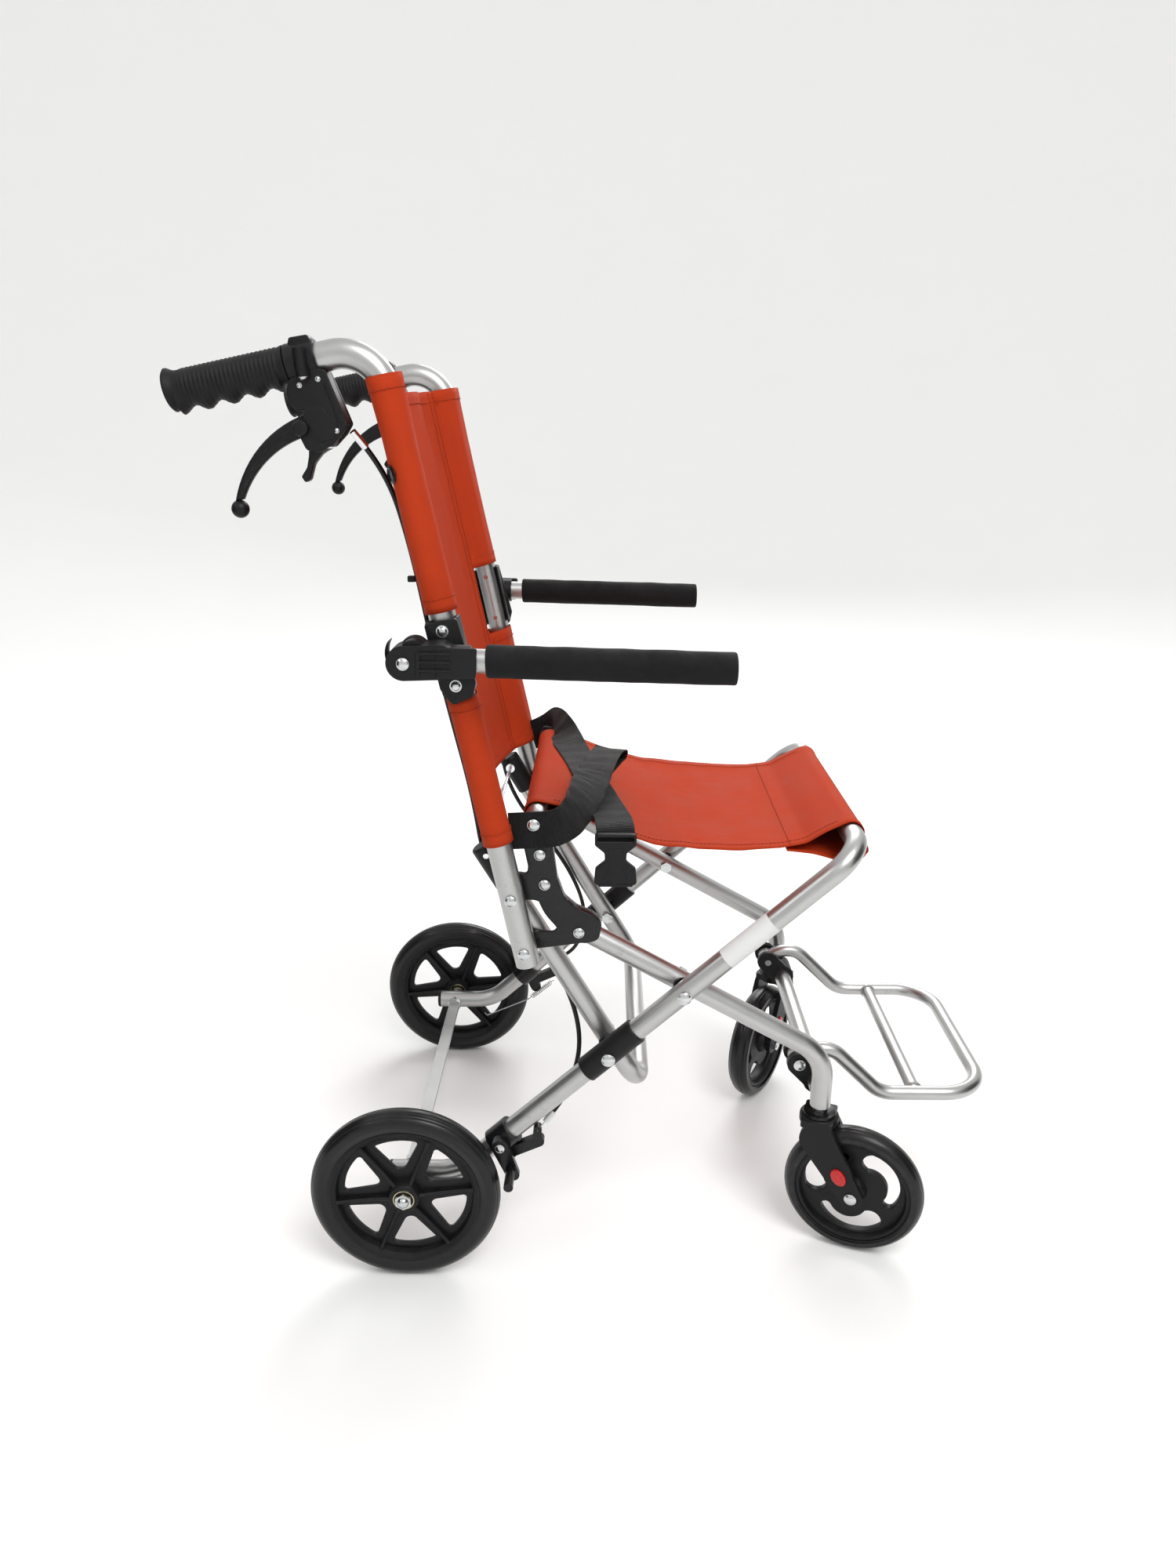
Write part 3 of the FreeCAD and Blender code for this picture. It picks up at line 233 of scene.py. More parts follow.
@dataclass
class Piece:
    """One visible piece: its mesh, its material, and what it rides on."""

    name: str
    draft: Draft
    material: bpy.types.Material
    slot: Slot
    body: str | None = None
    stands_for: tuple[str, ...] = ()
    thickness: float = 0.0
    sharp: float = 40.0
    closed: bool = True

    def build(self) -> bpy.types.Object:
        """Makes the object, rides it on its body and hides the CAD node it stands for.

        Returns:
            The new object.
        """
        mesh = bpy.data.meshes.new(self.name)
        mesh.from_pydata([tuple(p) for p in self.draft.points], [], self.draft.faces)
        layer = mesh.uv_layers.new(name="cloth")
        flat = [value for face in self.draft.corners for corner in face for value in corner]
        layer.uv.foreach_set("vector", flat)
        if self.closed:
            work = bmesh.new()
            work.from_mesh(mesh)
            bmesh.ops.remove_doubles(work, verts=work.verts, dist=1e-6)
            bmesh.ops.recalc_face_normals(work, faces=work.faces)
            work.to_mesh(mesh)
            work.free()
        mesh.validate()
        mesh.shade_smooth()
        made = placed(self.name, mesh)
        mesh.materials.append(self.material)
        if self.thickness:
            shell = made.modifiers.new("cloth thickness", "SOLIDIFY")
            shell.thickness, shell.offset = self.thickness, 0.0
        mesh.set_sharp_from_angle(angle=math.radians(self.sharp))
        if self.body:
            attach(made, self.body)
        if self.stands_for:
            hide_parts(*self.stands_for)
        LOG.info("built %s: %d faces", self.name, len(mesh.polygons))
        return made


def axis_frame(direction: Vector, hint: Vector = Vector((0, 1, 0))) -> tuple[Vector, Vector, Vector]:
    """Three square directions, the first along an axis.

    Args:
        direction: The axis.
        hint: Roughly where the third direction points.

    Returns:
        Axis, side and up directions.
    """
    ahead = direction.normalized()
    if abs(ahead.dot(hint)) > 0.95:
        hint = Vector((0, 0, 1))
    side = hint.cross(ahead).normalized()
    return ahead, side, ahead.cross(side)


def turns(count: int) -> list[float]:
    """Angles spread evenly over one full turn."""
    return [2 * math.pi * k / count for k in range(count)]


def heading(angle: float) -> Vector:
    """Direction in the side view, from forward towards up; the angle is in radians."""
    return Vector((math.cos(angle), 0, math.sin(angle)))


def placed(name: str, data: bpy.types.ID) -> bpy.types.Object:
    """An object that shows mesh, curve, light or camera data in the scene."""
    made = bpy.data.objects.new(name, data)
    bpy.context.scene.collection.objects.link(made)
    return made


def drawn_mesh(curve: bpy.types.Curve) -> bpy.types.Mesh:
    """The mesh that a curve draws; the curve is used up."""
    holder = placed("guide", curve)
    mesh = bpy.data.meshes.new_from_object(holder.evaluated_get(bpy.context.evaluated_depsgraph_get()))
    bpy.data.objects.remove(holder)
    bpy.data.curves.remove(curve)
    return mesh


def run_lengths(line: Sequence[Vector]) -> list[float]:
    """How far along a line each of its points is."""
    lengths = [0.0]
    for a, b in zip(line, line[1:]):
        lengths.append(lengths[-1] + (b - a).length)
    return lengths


def turned_rows(profile: Sequence[Point], origin: Vector, axis: Vector, steps: int) -> list[list[Vector]]:
    """A profile's points at each step round an axis, with the first step again at the end.

    Args:
        profile: Points as (radius, along).
        origin: Where along is 0.
        axis: Direction of along.
        steps: Steps round the axis.

    Returns:
        One row for each step.
    """
    ahead, side, up = axis_frame(axis)
    rows = []
    for turn in turns(steps):
        out = side * math.cos(turn) + up * math.sin(turn)
        rows.append([origin + ahead * along + out * radius for radius, along in profile])
    return rows + rows[:1]


def lathe(profile: Sequence[Point], origin: Vector, axis: Vector, steps: int = 48) -> Draft:
    """A turned solid.

    Args:
        profile: Outline points as (radius, along), open or closed at radius 0.
        origin: Where along is 0.
        axis: Direction of along.
        steps: Points round the axis.

    Returns:
        The closed surface.
    """
    return Draft().grid(turned_rows(profile, origin, axis, steps))


def ring_lathe(profile: Sequence[Point], origin: Vector, axis: Vector, steps: int = 64) -> Draft:
    """A turned ring whose closed profile doesn't reach the axis.

    Args:
        profile: Closed outline as (radius, along).
        origin: Where along is 0.
        axis: Direction of along.
        steps: Points round the axis.

    Returns:
        The closed surface.
    """
    return Draft().grid(turned_rows(profile, origin, axis, steps), closed=True)


def glide(points: Sequence[Vector], count: int) -> list[Vector]:
    """A smooth open line that keeps near given points.

    Args:
        points: Control points of a quadratic spline that starts and ends on the first and last.
        count: How many points to return.

    Returns:
        Evenly spaced points of the line.
    """
    curve = bpy.data.curves.new("guide", "CURVE")
    curve.dimensions = "3D"
    curve.resolution_u = 16
    spline = curve.splines.new("NURBS")
    spline.points.add(len(points) - 1)
    for target, point in zip(spline.points, points):
        target.co = (*point, 1.0)
    spline.order_u = 3
    spline.use_endpoint_u = True
    mesh = drawn_mesh(curve)
    line = [v.co.copy() for v in mesh.vertices]
    bpy.data.meshes.remove(mesh)
    return even(line, count)


def even(line: Sequence[Vector], count: int) -> list[Vector]:
    """Points spread evenly along a line of points.

    Args:
        line: The line.
        count: How many points to return.

    Returns:
        The spread points, ends included.
    """
    lengths = run_lengths(line)
    spread, k = [], 0
    for i in range(count):
        goal = lengths[-1] * i / (count - 1)
        while k < len(line) - 2 and lengths[k + 1] < goal:
            k += 1
        step = lengths[k + 1] - lengths[k]
        spread.append(line[k].lerp(line[k + 1], (goal - lengths[k]) / step if step else 0.0))
    return spread


def tube(line: Sequence[Vector], radius: float | Callable[[float], float], sides: int = 20) -> Draft:
    """A round bar along a line, with its ends filled.

    Args:
        line: Centre points.
        radius: Radius, or a function of the share of the way.
        sides: Points round the bar.

    Returns:
        The closed surface.
    """
    size = radius if callable(radius) else (lambda share: radius)
    rows = []
    side = axis_frame(line[1] - line[0])[1]
    for i, centre in enumerate(line):
        ahead = (line[min(i + 1, len(line) - 1)] - line[max(i - 1, 0)]).normalized()
        side = (side - ahead * side.dot(ahead)).normalized()
        up = ahead.cross(side)
        r = size(i / (len(line) - 1))
        rows.append([centre + (side * math.cos(a) + up * math.sin(a)) * r for a in turns(sides)])
    return Draft().grid(rows, closed=True, caps=True)


def rounded_outline(points: Sequence[Point], radii: Sequence[float] | float, steps: int = 6) -> list[Point]:
    """A closed outline whose corners are turned into arcs.

    Args:
        points: Corners.
        radii: One radius, or one for each corner.
        steps: Runs in each arc.

    Returns:
        The outline with its arcs.
    """
    outline: list[Point] = []
    count = len(points)
    for i, corner in enumerate(points):
        radius = radii if isinstance(radii, float) else radii[i]
        here = Vector(corner)
        back = (Vector(points[i - 1]) - here).normalized()
        ahead = (Vector(points[(i + 1) % count]) - here).normalized()
        half = math.acos(max(-1.0, min(1.0, back.dot(ahead)))) / 2
        limit = 0.49 * min((Vector(points[i - 1]) - here).length, (Vector(points[(i + 1) % count])
            - here).length)
        reach = min(radius / math.tan(half), limit) if half > 1e-3 else 0.0
        true_r = reach * math.tan(half)
        if true_r < 1e-6 or half > math.pi / 2 - 1e-3:
            outline.append(tuple(corner))
            continue
        centre = here + (back + ahead).normalized() * (true_r / math.sin(half))
        a, b = here + back * reach - centre, here + ahead * reach - centre
        turn = a.angle_signed(b)
        for k in range(steps + 1):
            p = centre + Matrix.Rotation(-turn * k / steps, 2) @ a
            outline.append((p.x, p.y))
    return outline


def arc_points(centre: Point, radius: float, start: float, end: float, steps: int = 8) -> list[Point]:
    """Points of an arc; angles are in degrees."""
    angles = [math.radians(start + (end - start) * k / steps) for k in range(steps + 1)]
    return [(centre[0] + radius * math.cos(a), centre[1] + radius * math.sin(a)) for a in angles]


@dataclass
class Plate:
    """A flat piece with rounded edges, drawn in X and Z and laid between two Y planes."""

    outline: Sequence[Point]
    y0: float
    y1: float
    edge: float
    holes: Sequence[Sequence[Point]] = ()

    def draw(self) -> Draft:
        """Fills the outline and gives it depth.

        Returns:
            The closed surface.
        """
        curve = bpy.data.curves.new("outline", "CURVE")
        curve.dimensions = "2D"
        curve.fill_mode = "BOTH"
        low, high = sorted((self.y0, self.y1))
        curve.extrude = (high - low) / 2 - self.edge
        curve.bevel_depth, curve.offset, curve.bevel_resolution = self.edge, -self.edge, 2
        for ring in (self.outline, *self.holes):
            spline = curve.splines.new("POLY")
            spline.points.add(len(ring) - 1)
            for target, (x, z) in zip(spline.points, ring):
                target.co = (x, z, 0, 1)
            spline.use_cyclic_u = True
        mesh = drawn_mesh(curve)
        middle = (low + high) / 2
        draft = Draft([Vector((v.co.x, middle + v.co.z, v.co.y)) for v in mesh.vertices],
            [tuple(p.vertices) for p in mesh.polygons])
        draft.corners = [tuple((draft.points[v].x, draft.points[v].z) for v in face) for face in draft.faces]
        bpy.data.meshes.remove(mesh)
        return draft


def across(xz: Point, y0: float, y1: float, radius: float, edge: float = 0.0006, steps: int = 40) -> Draft:
    """A short round boss across the chair, with softened rims.

    Args:
        xz: Its centre.
        y0: Y of one face.
        y1: Y of the other face.
        radius: Its radius.
        edge: Size of the softened rim.
        steps: Points round it.

    Returns:
        The closed surface.
    """
    height = abs(y1 - y0)
    profile = [(0.0, 0.0), (radius - edge, 0.0), (radius - edge * 0.3, edge * 0.3), (radius, edge),
        (radius, height - edge), (radius - edge * 0.3, height - edge * 0.3), (radius - edge, height),
        (0.0, height)]
    return lathe(profile, Vector((xz[0], y0, xz[1])), Vector((0, 1 if y1 > y0 else -1, 0)), steps)


def stitches(line: Sequence[Vector], out: Callable[[int], Vector], length: float = 0.0028,
        pitch: float = 0.0042, thick: float = 0.00035) -> Draft:
    """A row of thread stitches along a line of points.

    Args:
        line: The seam.
        out: Direction out of the cloth at a point's index.
        length: Length of a stitch.
        pitch: Distance from one stitch to the next.
        thick: Radius of the thread.

    Returns:
        The stitches.
    """
    total = sum((b - a).length for a, b in zip(line, line[1:]))
    count = max(2, int(total / pitch))
    spots = even(line, count * 2 + 1)
    draft = Draft()
    for k in range(count):
        a, b = spots[2 * k], spots[2 * k + 1]
        index = min(len(line) - 1, int((2 * k + 0.5) / (2 * count) * len(line)))
        away = out(index).normalized() * thick
        ahead = (b - a).normalized() * (length / 2)
        middle = (a + b) / 2
        bow = [middle - ahead, middle - ahead * 0.5 + away * 1.2, middle + ahead * 0.5 + away * 1.2,
            middle + ahead]
        draft.merge(tube(bow, thick, 6))
    return draft


def dome_screw(head: Vector, out: Vector, radius: float, recess: bool = False) -> Draft:
    """A domed bolt head with a flange.

    Args:
        head: Centre of its seat.
        out: Direction it faces.
        radius: Radius of the head.
        recess: Whether it has a round driver recess.

    Returns:
        The closed surface.
    """
    profile = [(0.0, 0.0), (radius * 1.3, 0.0), (radius * 1.34, radius * 0.07),
        (radius * 1.3, radius * 0.16), (radius, radius * 0.18)]
    rise = radius * 0.62
    for k in range(1, 7):
        a = math.radians(90 * k / 6)
        profile.append((radius * math.cos(a), radius * 0.18 + rise * math.sin(a)))
    if recess:
        profile = profile[:-3] + [(radius * 0.42, radius * 0.74), (radius * 0.36, radius * 0.66),
            (radius * 0.3, radius * 0.3), (0.0, radius * 0.28)]
    else:
        profile[-1] = (0.0, profile[-1][1])
    return lathe(profile, head, out, 28)


# Shader building ---------------------------------------------

Socket = bpy.types.NodeSocket
Value = float | Socket


def colour(red: int, green: int, blue: int) -> tuple[float, float, float, float]:
    """Scene colour of an 8-bit display colour.

    Args:
        red: Red, 0 to 255.
        green: Green, 0 to 255.
        blue: Blue, 0 to 255.

    Returns:
        The linear colour with full opacity.
    """
    parts = []
    for part in (red, green, blue):
        share = part / 255
        parts.append(share / 12.92 if share <= 0.04045 else ((share + 0.055) / 1.055) ** 2.4)
    return (*parts, 1.0)


class Pen:
    """Places and joins the nodes of one node tree."""

    def __init__(self, tree: bpy.types.NodeTree) -> None:
        """Keeps the tree that is drawn in."""
        self.tree = tree

    def node(self, kind: str, inputs: dict | None = None, **settings) -> bpy.types.Node:
        """Adds a node.

        Args:
            kind: Its type name.
            inputs: Input names or indices with a value or an output to join.
            settings: Properties of the node.

        Returns:
            The node.
        """
        made = self.tree.nodes.new(kind)
        for key, value in settings.items():
            setattr(made, key, value)
        for key, value in (inputs or {}).items():
            self.feed(made.inputs[key], value)
        return made

    def feed(self, target: Socket, value) -> None:
        """Joins an output to an input, or sets the input's value."""
        if isinstance(value, bpy.types.NodeSocket):
            self.tree.links.new(value, target)
        else:
            target.default_value = value

    def math(self, operation: str, first: Value, second: Value = 0.0, clamp: bool = False) -> Socket:
        """The result of a math node."""
        made = self.node("ShaderNodeMath", {0: first, 1: second}, operation=operation, use_clamp=clamp)
        return made.outputs[0]

    def times(self, first: Value, second: Value) -> Socket:
        """The product of two values."""
        return self.math("MULTIPLY", first, second)

    def plus(self, first: Value, second: Value) -> Socket:
        """The sum of two values."""
        return self.math("ADD", first, second)

    def ramp(self, value: Socket, low: float, high: float, to_low: float = 0.0,
            to_high: float = 1.0) -> Socket:
        """A value mapped from one range to another, held at its ends."""
        made = self.node("ShaderNodeMapRange", {"Value": value, "From Min": low, "From Max": high,
            "To Min": to_low, "To Max": to_high})
        return made.outputs["Result"]

    def mix(self, share: Value, first, second, blend: str = "MIX") -> Socket:
        """A mix of two colours."""
        made = self.node("ShaderNodeMix", data_type="RGBA", blend_type=blend)
        self.feed(made.inputs[0], share)
        self.feed(made.inputs[6], first)
        self.feed(made.inputs[7], second)
        return made.outputs[2]

    def scaled(self, vector: Socket, scale: Socket) -> Socket:
        """Coordinates multiplied by a scale."""
        made = self.node("ShaderNodeVectorMath", {0: vector, "Scale": scale}, operation="SCALE")
        return made.outputs[0]

    def cloud(self, scale: float, detail: float = 4.0, rough: float = 0.55,
            where: Socket | None = None) -> Socket:
        """Soft noise, 0 to 1."""
        inputs = {"Scale": scale, "Detail": detail, "Roughness": rough}
        if where is not None:
            inputs["Vector"] = where
        return self.node("ShaderNodeTexNoise", inputs).outputs[0]


class Effect(Enum):
    """Surface effects that several finishes share, each one a node group."""

    MOTTLE = "uneven tone"
    GRAIN = "moulded grain"
    WEAVE = "plain weave"
    WEAR = "edge wear"
    DUST = "settled dust"
    SCUFF = "fine scratches"


class Effects:
    """Builds each shared effect once and places it in materials."""

    def __init__(self) -> None:
        """Starts with no groups."""
        self.built: dict[Effect, bpy.types.NodeTree] = {}

    def place(self, pen: Pen, effect: Effect, inputs: dict) -> bpy.types.Node:
        """Adds an effect to a material.

        Args:
            pen: The material's pen.
            effect: Which effect.
            inputs: Values or outputs for its inputs.

        Returns:
            The group node.
        """
        if effect not in self.built:
            self.built[effect] = self.draw(effect)
        return pen.node("ShaderNodeGroup", inputs, node_tree=self.built[effect])

    def draw(self, effect: Effect) -> bpy.types.NodeTree:
        """Makes the node group of an effect."""
        tree = bpy.data.node_groups.new(effect.value, "ShaderNodeTree")
        makers = {
            Effect.MOTTLE: self.mottle, Effect.GRAIN: self.grain, Effect.WEAVE: self.weave,
            Effect.WEAR: self.wear, Effect.DUST: self.dust, Effect.SCUFF: self.scuff,
        }
        makers[effect](tree)
        return tree

    @staticmethod
    def sockets(tree: bpy.types.NodeTree, ins: dict[str, str], outs: dict[str, str]) -> tuple[Pen, dict,
            bpy.types.Node]:
        """Names a group's inputs and outputs.

        Args:
            tree: The group.
            ins: Input names and kinds.
            outs: Output names and kinds.

        Returns:
            The pen, the inputs by name and the output node.
        """
        kinds = {"value": "NodeSocketFloat", "colour": "NodeSocketColor", "vector": "NodeSocketVector"}
        for name, kind in ins.items():
            tree.interface.new_socket(name=name, in_out="INPUT", socket_type=kinds[kind])
        for name, kind in outs.items():
            tree.interface.new_socket(name=name, in_out="OUTPUT", socket_type=kinds[kind])
        pen = Pen(tree)
        given = pen.node("NodeGroupInput")
        result = pen.node("NodeGroupOutput")
        return pen, {name: given.outputs[name] for name in ins}, result

    def mottle(self, tree: bpy.types.NodeTree) -> None:
        """Uneven tone: a colour that drifts lighter and darker over the surface."""
        pen, given, result = self.sockets(tree, {"Vector": "vector", "Colour": "colour", "Scale": "value",
            "Amount": "value"}, {"Colour": "colour", "Mask": "value"})
        field_value = pen.cloud(1.0, 5.0, 0.6, pen.scaled(given["Vector"], given["Scale"]))
        spread = pen.ramp(field_value, 0.3, 0.7, -0.5, 0.5)
        gain = pen.plus(pen.times(spread, given["Amount"]), 1.0)
        tone = pen.node("ShaderNodeCombineColor", {0: gain, 1: gain, 2: gain})
        pen.feed(result.inputs["Colour"], pen.mix(1.0, given["Colour"], tone.outputs[0], "MULTIPLY"))
        pen.feed(result.inputs["Mask"], field_value)

    def grain(self, tree: bpy.types.NodeTree) -> None:
        """Moulded grain: fine pebbling with a soft larger ripple."""
        pen, given, result = self.sockets(tree, {"Vector": "vector", "Scale": "value"}, {"Height": "value"})
        where = pen.scaled(given["Vector"], given["Scale"])
        cells = pen.node("ShaderNodeTexVoronoi", {"Vector": where, "Scale": 1.0}, feature="SMOOTH_F1")
        fine = pen.cloud(2.3, 3.0, 0.6, where)
        height = pen.plus(pen.times(cells.outputs["Distance"], 0.6), pen.times(fine, 0.4))
        pen.feed(result.inputs["Height"], height)

    def weave(self, tree: bpy.types.NodeTree) -> None:
        """Plain weave: warp and weft threads that pass over and under each other."""
        pen, given, result = self.sockets(tree, {"Vector": "vector", "Pitch": "value", "Slub": "value"},
            {"Height": "value", "Gap": "value", "Thread": "value"})
        parts = pen.node("ShaderNodeSeparateXYZ", {0: given["Vector"]})
        wander = pen.ramp(pen.cloud(90.0, 2.0, 0.5, given["Vector"]), 0.0, 1.0, -0.5, 0.5)
        drift = pen.times(wander, given["Slub"])
        turn = [pen.plus(pen.math("DIVIDE", parts.outputs[axis], given["Pitch"]), drift) for axis in (0, 1)]
        waves = [pen.math("SINE", pen.times(t, math.pi)) for t in turn]
        rounds = [pen.math("ABSOLUTE", w) for w in waves]
        over = pen.math("GREATER_THAN", pen.times(waves[0], waves[1]), 0.0)
        under = pen.math("SUBTRACT", 1.0, over)
        warp = pen.times(pen.times(rounds[0], over), pen.plus(rounds[1], 0.3))
        weft = pen.times(pen.times(rounds[1], under), pen.plus(rounds[0], 0.3))
        height = pen.plus(warp, weft)
        pen.feed(result.inputs["Height"], height)
        # This mask marks where the threads dip low; the cloth darkens it as painted shade between the threads.
        pen.feed(result.inputs["Gap"], pen.ramp(height, 0.05, 0.45, 1.0, 0.0))
        pen.feed(result.inputs["Thread"], over)

    def wear(self, tree: bpy.types.NodeTree) -> None:
        """Edge wear: a mask along the piece's outer edges, broken up by noise."""
        pen, given, result = self.sockets(tree, {"Vector": "vector", "Radius": "value", "Amount": "value"},
            {"Mask": "value"})
        soft = pen.node("ShaderNodeBevel", {"Radius": given["Radius"]}, samples=4)
        plain = pen.node("ShaderNodeNewGeometry").outputs["Normal"]
        lean = pen.node("ShaderNodeVectorMath", {0: soft.outputs[0], 1: plain}, operation="DOT_PRODUCT")
        edge = pen.ramp(lean.outputs["Value"], 0.995, 0.86)
        patches = pen.ramp(pen.cloud(160.0, 4.0, 0.6, given["Vector"]), 0.42, 0.62)
        pen.feed(result.inputs["Mask"], pen.times(pen.times(edge, patches), given["Amount"]))

    def dust(self, tree: bpy.types.NodeTree) -> None:
        """Settled dust: a thin film on what faces up."""
        pen, given, result = self.sockets(tree, {"Vector": "vector", "Amount": "value"}, {"Mask": "value"})
        faces = pen.node("ShaderNodeSeparateXYZ", {0: pen.node("ShaderNodeNewGeometry").outputs["Normal"]})
        up = pen.ramp(faces.outputs[2], 0.2, 1.0)
        patches = pen.ramp(pen.cloud(55.0, 6.0, 0.65, given["Vector"]), 0.4, 0.75)
        pen.feed(result.inputs["Mask"], pen.times(pen.times(up, patches), given["Amount"]))

    def scuff(self, tree: bpy.types.NodeTree) -> None:
        """Fine scratches: thin random lines, as a mask and a height."""
        pen, given, result = self.sockets(tree, {"Vector": "vector", "Scale": "value"}, {"Mask": "value"})
        bent = pen.node("ShaderNodeMapping", {"Vector": given["Vector"], "Rotation": (0.4, 0.9, 0.2),
            "Scale": (1.0, 14.0, 1.6)})
        lines = pen.cloud(1.0, 3.0, 0.5, pen.scaled(bent.outputs[0], given["Scale"]))
        thin = pen.ramp(pen.math("ABSOLUTE", pen.math("SUBTRACT", lines, 0.5)), 0.0, 0.012, 1.0, 0.0)
        spots = pen.ramp(pen.cloud(24.0, 2.0, 0.5, given["Vector"]), 0.5, 0.7)
        pen.feed(result.inputs["Mask"], pen.times(thin, spots))


EFFECTS = Effects()


@dataclass(frozen=True)
class Finish:
    """A finish: a base colour and roughness with uneven tone; its kinds add their own detail."""

    name: str
    base: tuple[float, float, float, float]
    roughness: float = 0.5
    metallic: float = 0.0
    specular: float = 0.5
    uneven: float = 0.12
    uneven_scale: float = 30.0
    dust: float = 0.1

    def build(self) -> bpy.types.Material:
        """Makes the material.

        Returns:
            The material.
        """
        material = bpy.data.materials.new(self.name)
        material.use_nodes = True
        material.node_tree.nodes.clear()
        pen = Pen(material.node_tree)
        shader = pen.node("ShaderNodeBsdfPrincipled")
        output = pen.node("ShaderNodeOutputMaterial")
        pen.feed(output.inputs["Surface"], shader.outputs[0])
        where = self.where(pen)
        tone = EFFECTS.place(pen, Effect.MOTTLE, {"Vector": where, "Colour": self.base,
            "Scale": self.uneven_scale, "Amount": self.uneven})
        shader.inputs["Metallic"].default_value = self.metallic
        shader.inputs["Specular IOR Level"].default_value = self.specular
        parts = {"colour": tone.outputs["Colour"], "roughness": pen.ramp(tone.outputs["Mask"], 0.25, 0.75,
            self.roughness * 0.86, min(1.0, self.roughness * 1.16))}
        self.detail(pen, shader, where, parts)
        film = EFFECTS.place(pen, Effect.DUST, {"Vector": where, "Amount": self.dust})
        pen.feed(shader.inputs["Base Color"], pen.mix(film.outputs["Mask"], parts["colour"],
            colour(176, 172, 165)))
        dull = pen.node("ShaderNodeMix", {0: film.outputs["Mask"], 2: parts["roughness"], 3: 0.85})
        pen.feed(shader.inputs["Roughness"], dull.outputs[0])
        return material

    def where(self, pen: Pen) -> Socket:
        """Coordinates of the finish: the piece's own place, in metres."""
        return pen.node("ShaderNodeTexCoord").outputs["Object"]

    def bump(self, pen: Pen, shader: bpy.types.Node, height: Socket, distance: float,
            strength: float = 1.0) -> None:
        """Feeds a height into the shader's normal, on top of any bump that is there."""
        made = pen.node("ShaderNodeBump", {"Height": height, "Distance": distance, "Strength": strength})
        if shader.inputs["Normal"].is_linked:
            pen.feed(made.inputs["Normal"], shader.inputs["Normal"].links[0].from_socket)
        pen.feed(shader.inputs["Normal"], made.outputs[0])

    def detail(self, pen: Pen, shader: bpy.types.Node, where: Socket, parts: dict) -> None:
        """Adds what sets this kind of finish apart; the plain kind adds nothing."""


@dataclass(frozen=True)
class Metal(Finish):
    """Bare or anodised metal with fine scratches and a faint grain."""

    metallic: float = 1.0
    grain: float = 900.0
    grain_depth: float = 0.00002
    scratch: float = 0.5

    def detail(self, pen: Pen, shader: bpy.types.Node, where: Socket, parts: dict) -> None:
        """Scratches lighten and roughen; the grain blurs the highlights."""
        lines = EFFECTS.place(pen, Effect.SCUFF, {"Vector": where, "Scale": 40.0})
        amount = pen.times(lines.outputs["Mask"], self.scratch)
        parts["colour"] = pen.mix(amount, parts["colour"], colour(120, 120, 120))
        parts["roughness"] = pen.plus(parts["roughness"], pen.times(amount, 0.25))
        pebbles = EFFECTS.place(pen, Effect.GRAIN, {"Vector": where, "Scale": self.grain})
        self.bump(pen, shader, pebbles.outputs["Height"], self.grain_depth)


@dataclass(frozen=True)
class Moulded(Finish):
    """Moulded plastic or rubber: pebbled, a little paler and smoother where edges are rubbed."""

    grain: float = 1400.0
    grain_depth: float = 0.00004
    worn: tuple[float, float, float, float] = (0.06, 0.06, 0.062, 1.0)
    wear: float = 0.5
    wear_radius: float = 0.0012
    coat: float = 0.0

    def detail(self, pen: Pen, shader: bpy.types.Node, where: Socket, parts: dict) -> None:
        """Grain and edge wear."""
        pebbles = EFFECTS.place(pen, Effect.GRAIN, {"Vector": where, "Scale": self.grain})
        self.bump(pen, shader, pebbles.outputs["Height"], self.grain_depth)
        rubbed = EFFECTS.place(pen, Effect.WEAR, {"Vector": where, "Radius": self.wear_radius,
            "Amount": self.wear})
        parts["colour"] = pen.mix(rubbed.outputs["Mask"], parts["colour"], self.worn)
        parts["roughness"] = pen.math("SUBTRACT", parts["roughness"], pen.times(rubbed.outputs["Mask"],
            0.12), True)
        shader.inputs["Coat Weight"].default_value = self.coat
        shader.inputs["Coat Roughness"].default_value = 0.12


@dataclass(frozen=True)
class Foam(Finish):
    """Closed-cell foam: matt, with open pores and soft dents."""

    roughness: float = 0.82

    def detail(self, pen: Pen, shader: bpy.types.Node, where: Socket, parts: dict) -> None:
        """Pores, dents and a faint bloom of light at the edge; the pores are painted darker, as painted shade in
        the open cells.
        """
        cells = pen.node("ShaderNodeTexVoronoi", {"Vector": where, "Scale": 1100.0, "Randomness": 1.0})
        pores = pen.ramp(cells.outputs["Distance"], 0.1, 0.45)
        dents = pen.cloud(70.0, 3.0, 0.5, where)
        self.bump(pen, shader, dents, 0.0005, 0.5)
        self.bump(pen, shader, pores, 0.00012)
        # Painted shade: the pores are darkened, standing in for shade inside the open cells.
        parts["colour"] = pen.mix(pen.times(pen.math("SUBTRACT", 1.0, pores), 0.5), parts["colour"],
            (0.004, 0.004, 0.004, 1.0))
        shader.inputs["Sheen Weight"].default_value = 0.04
        shader.inputs["Sheen Roughness"].default_value = 0.6


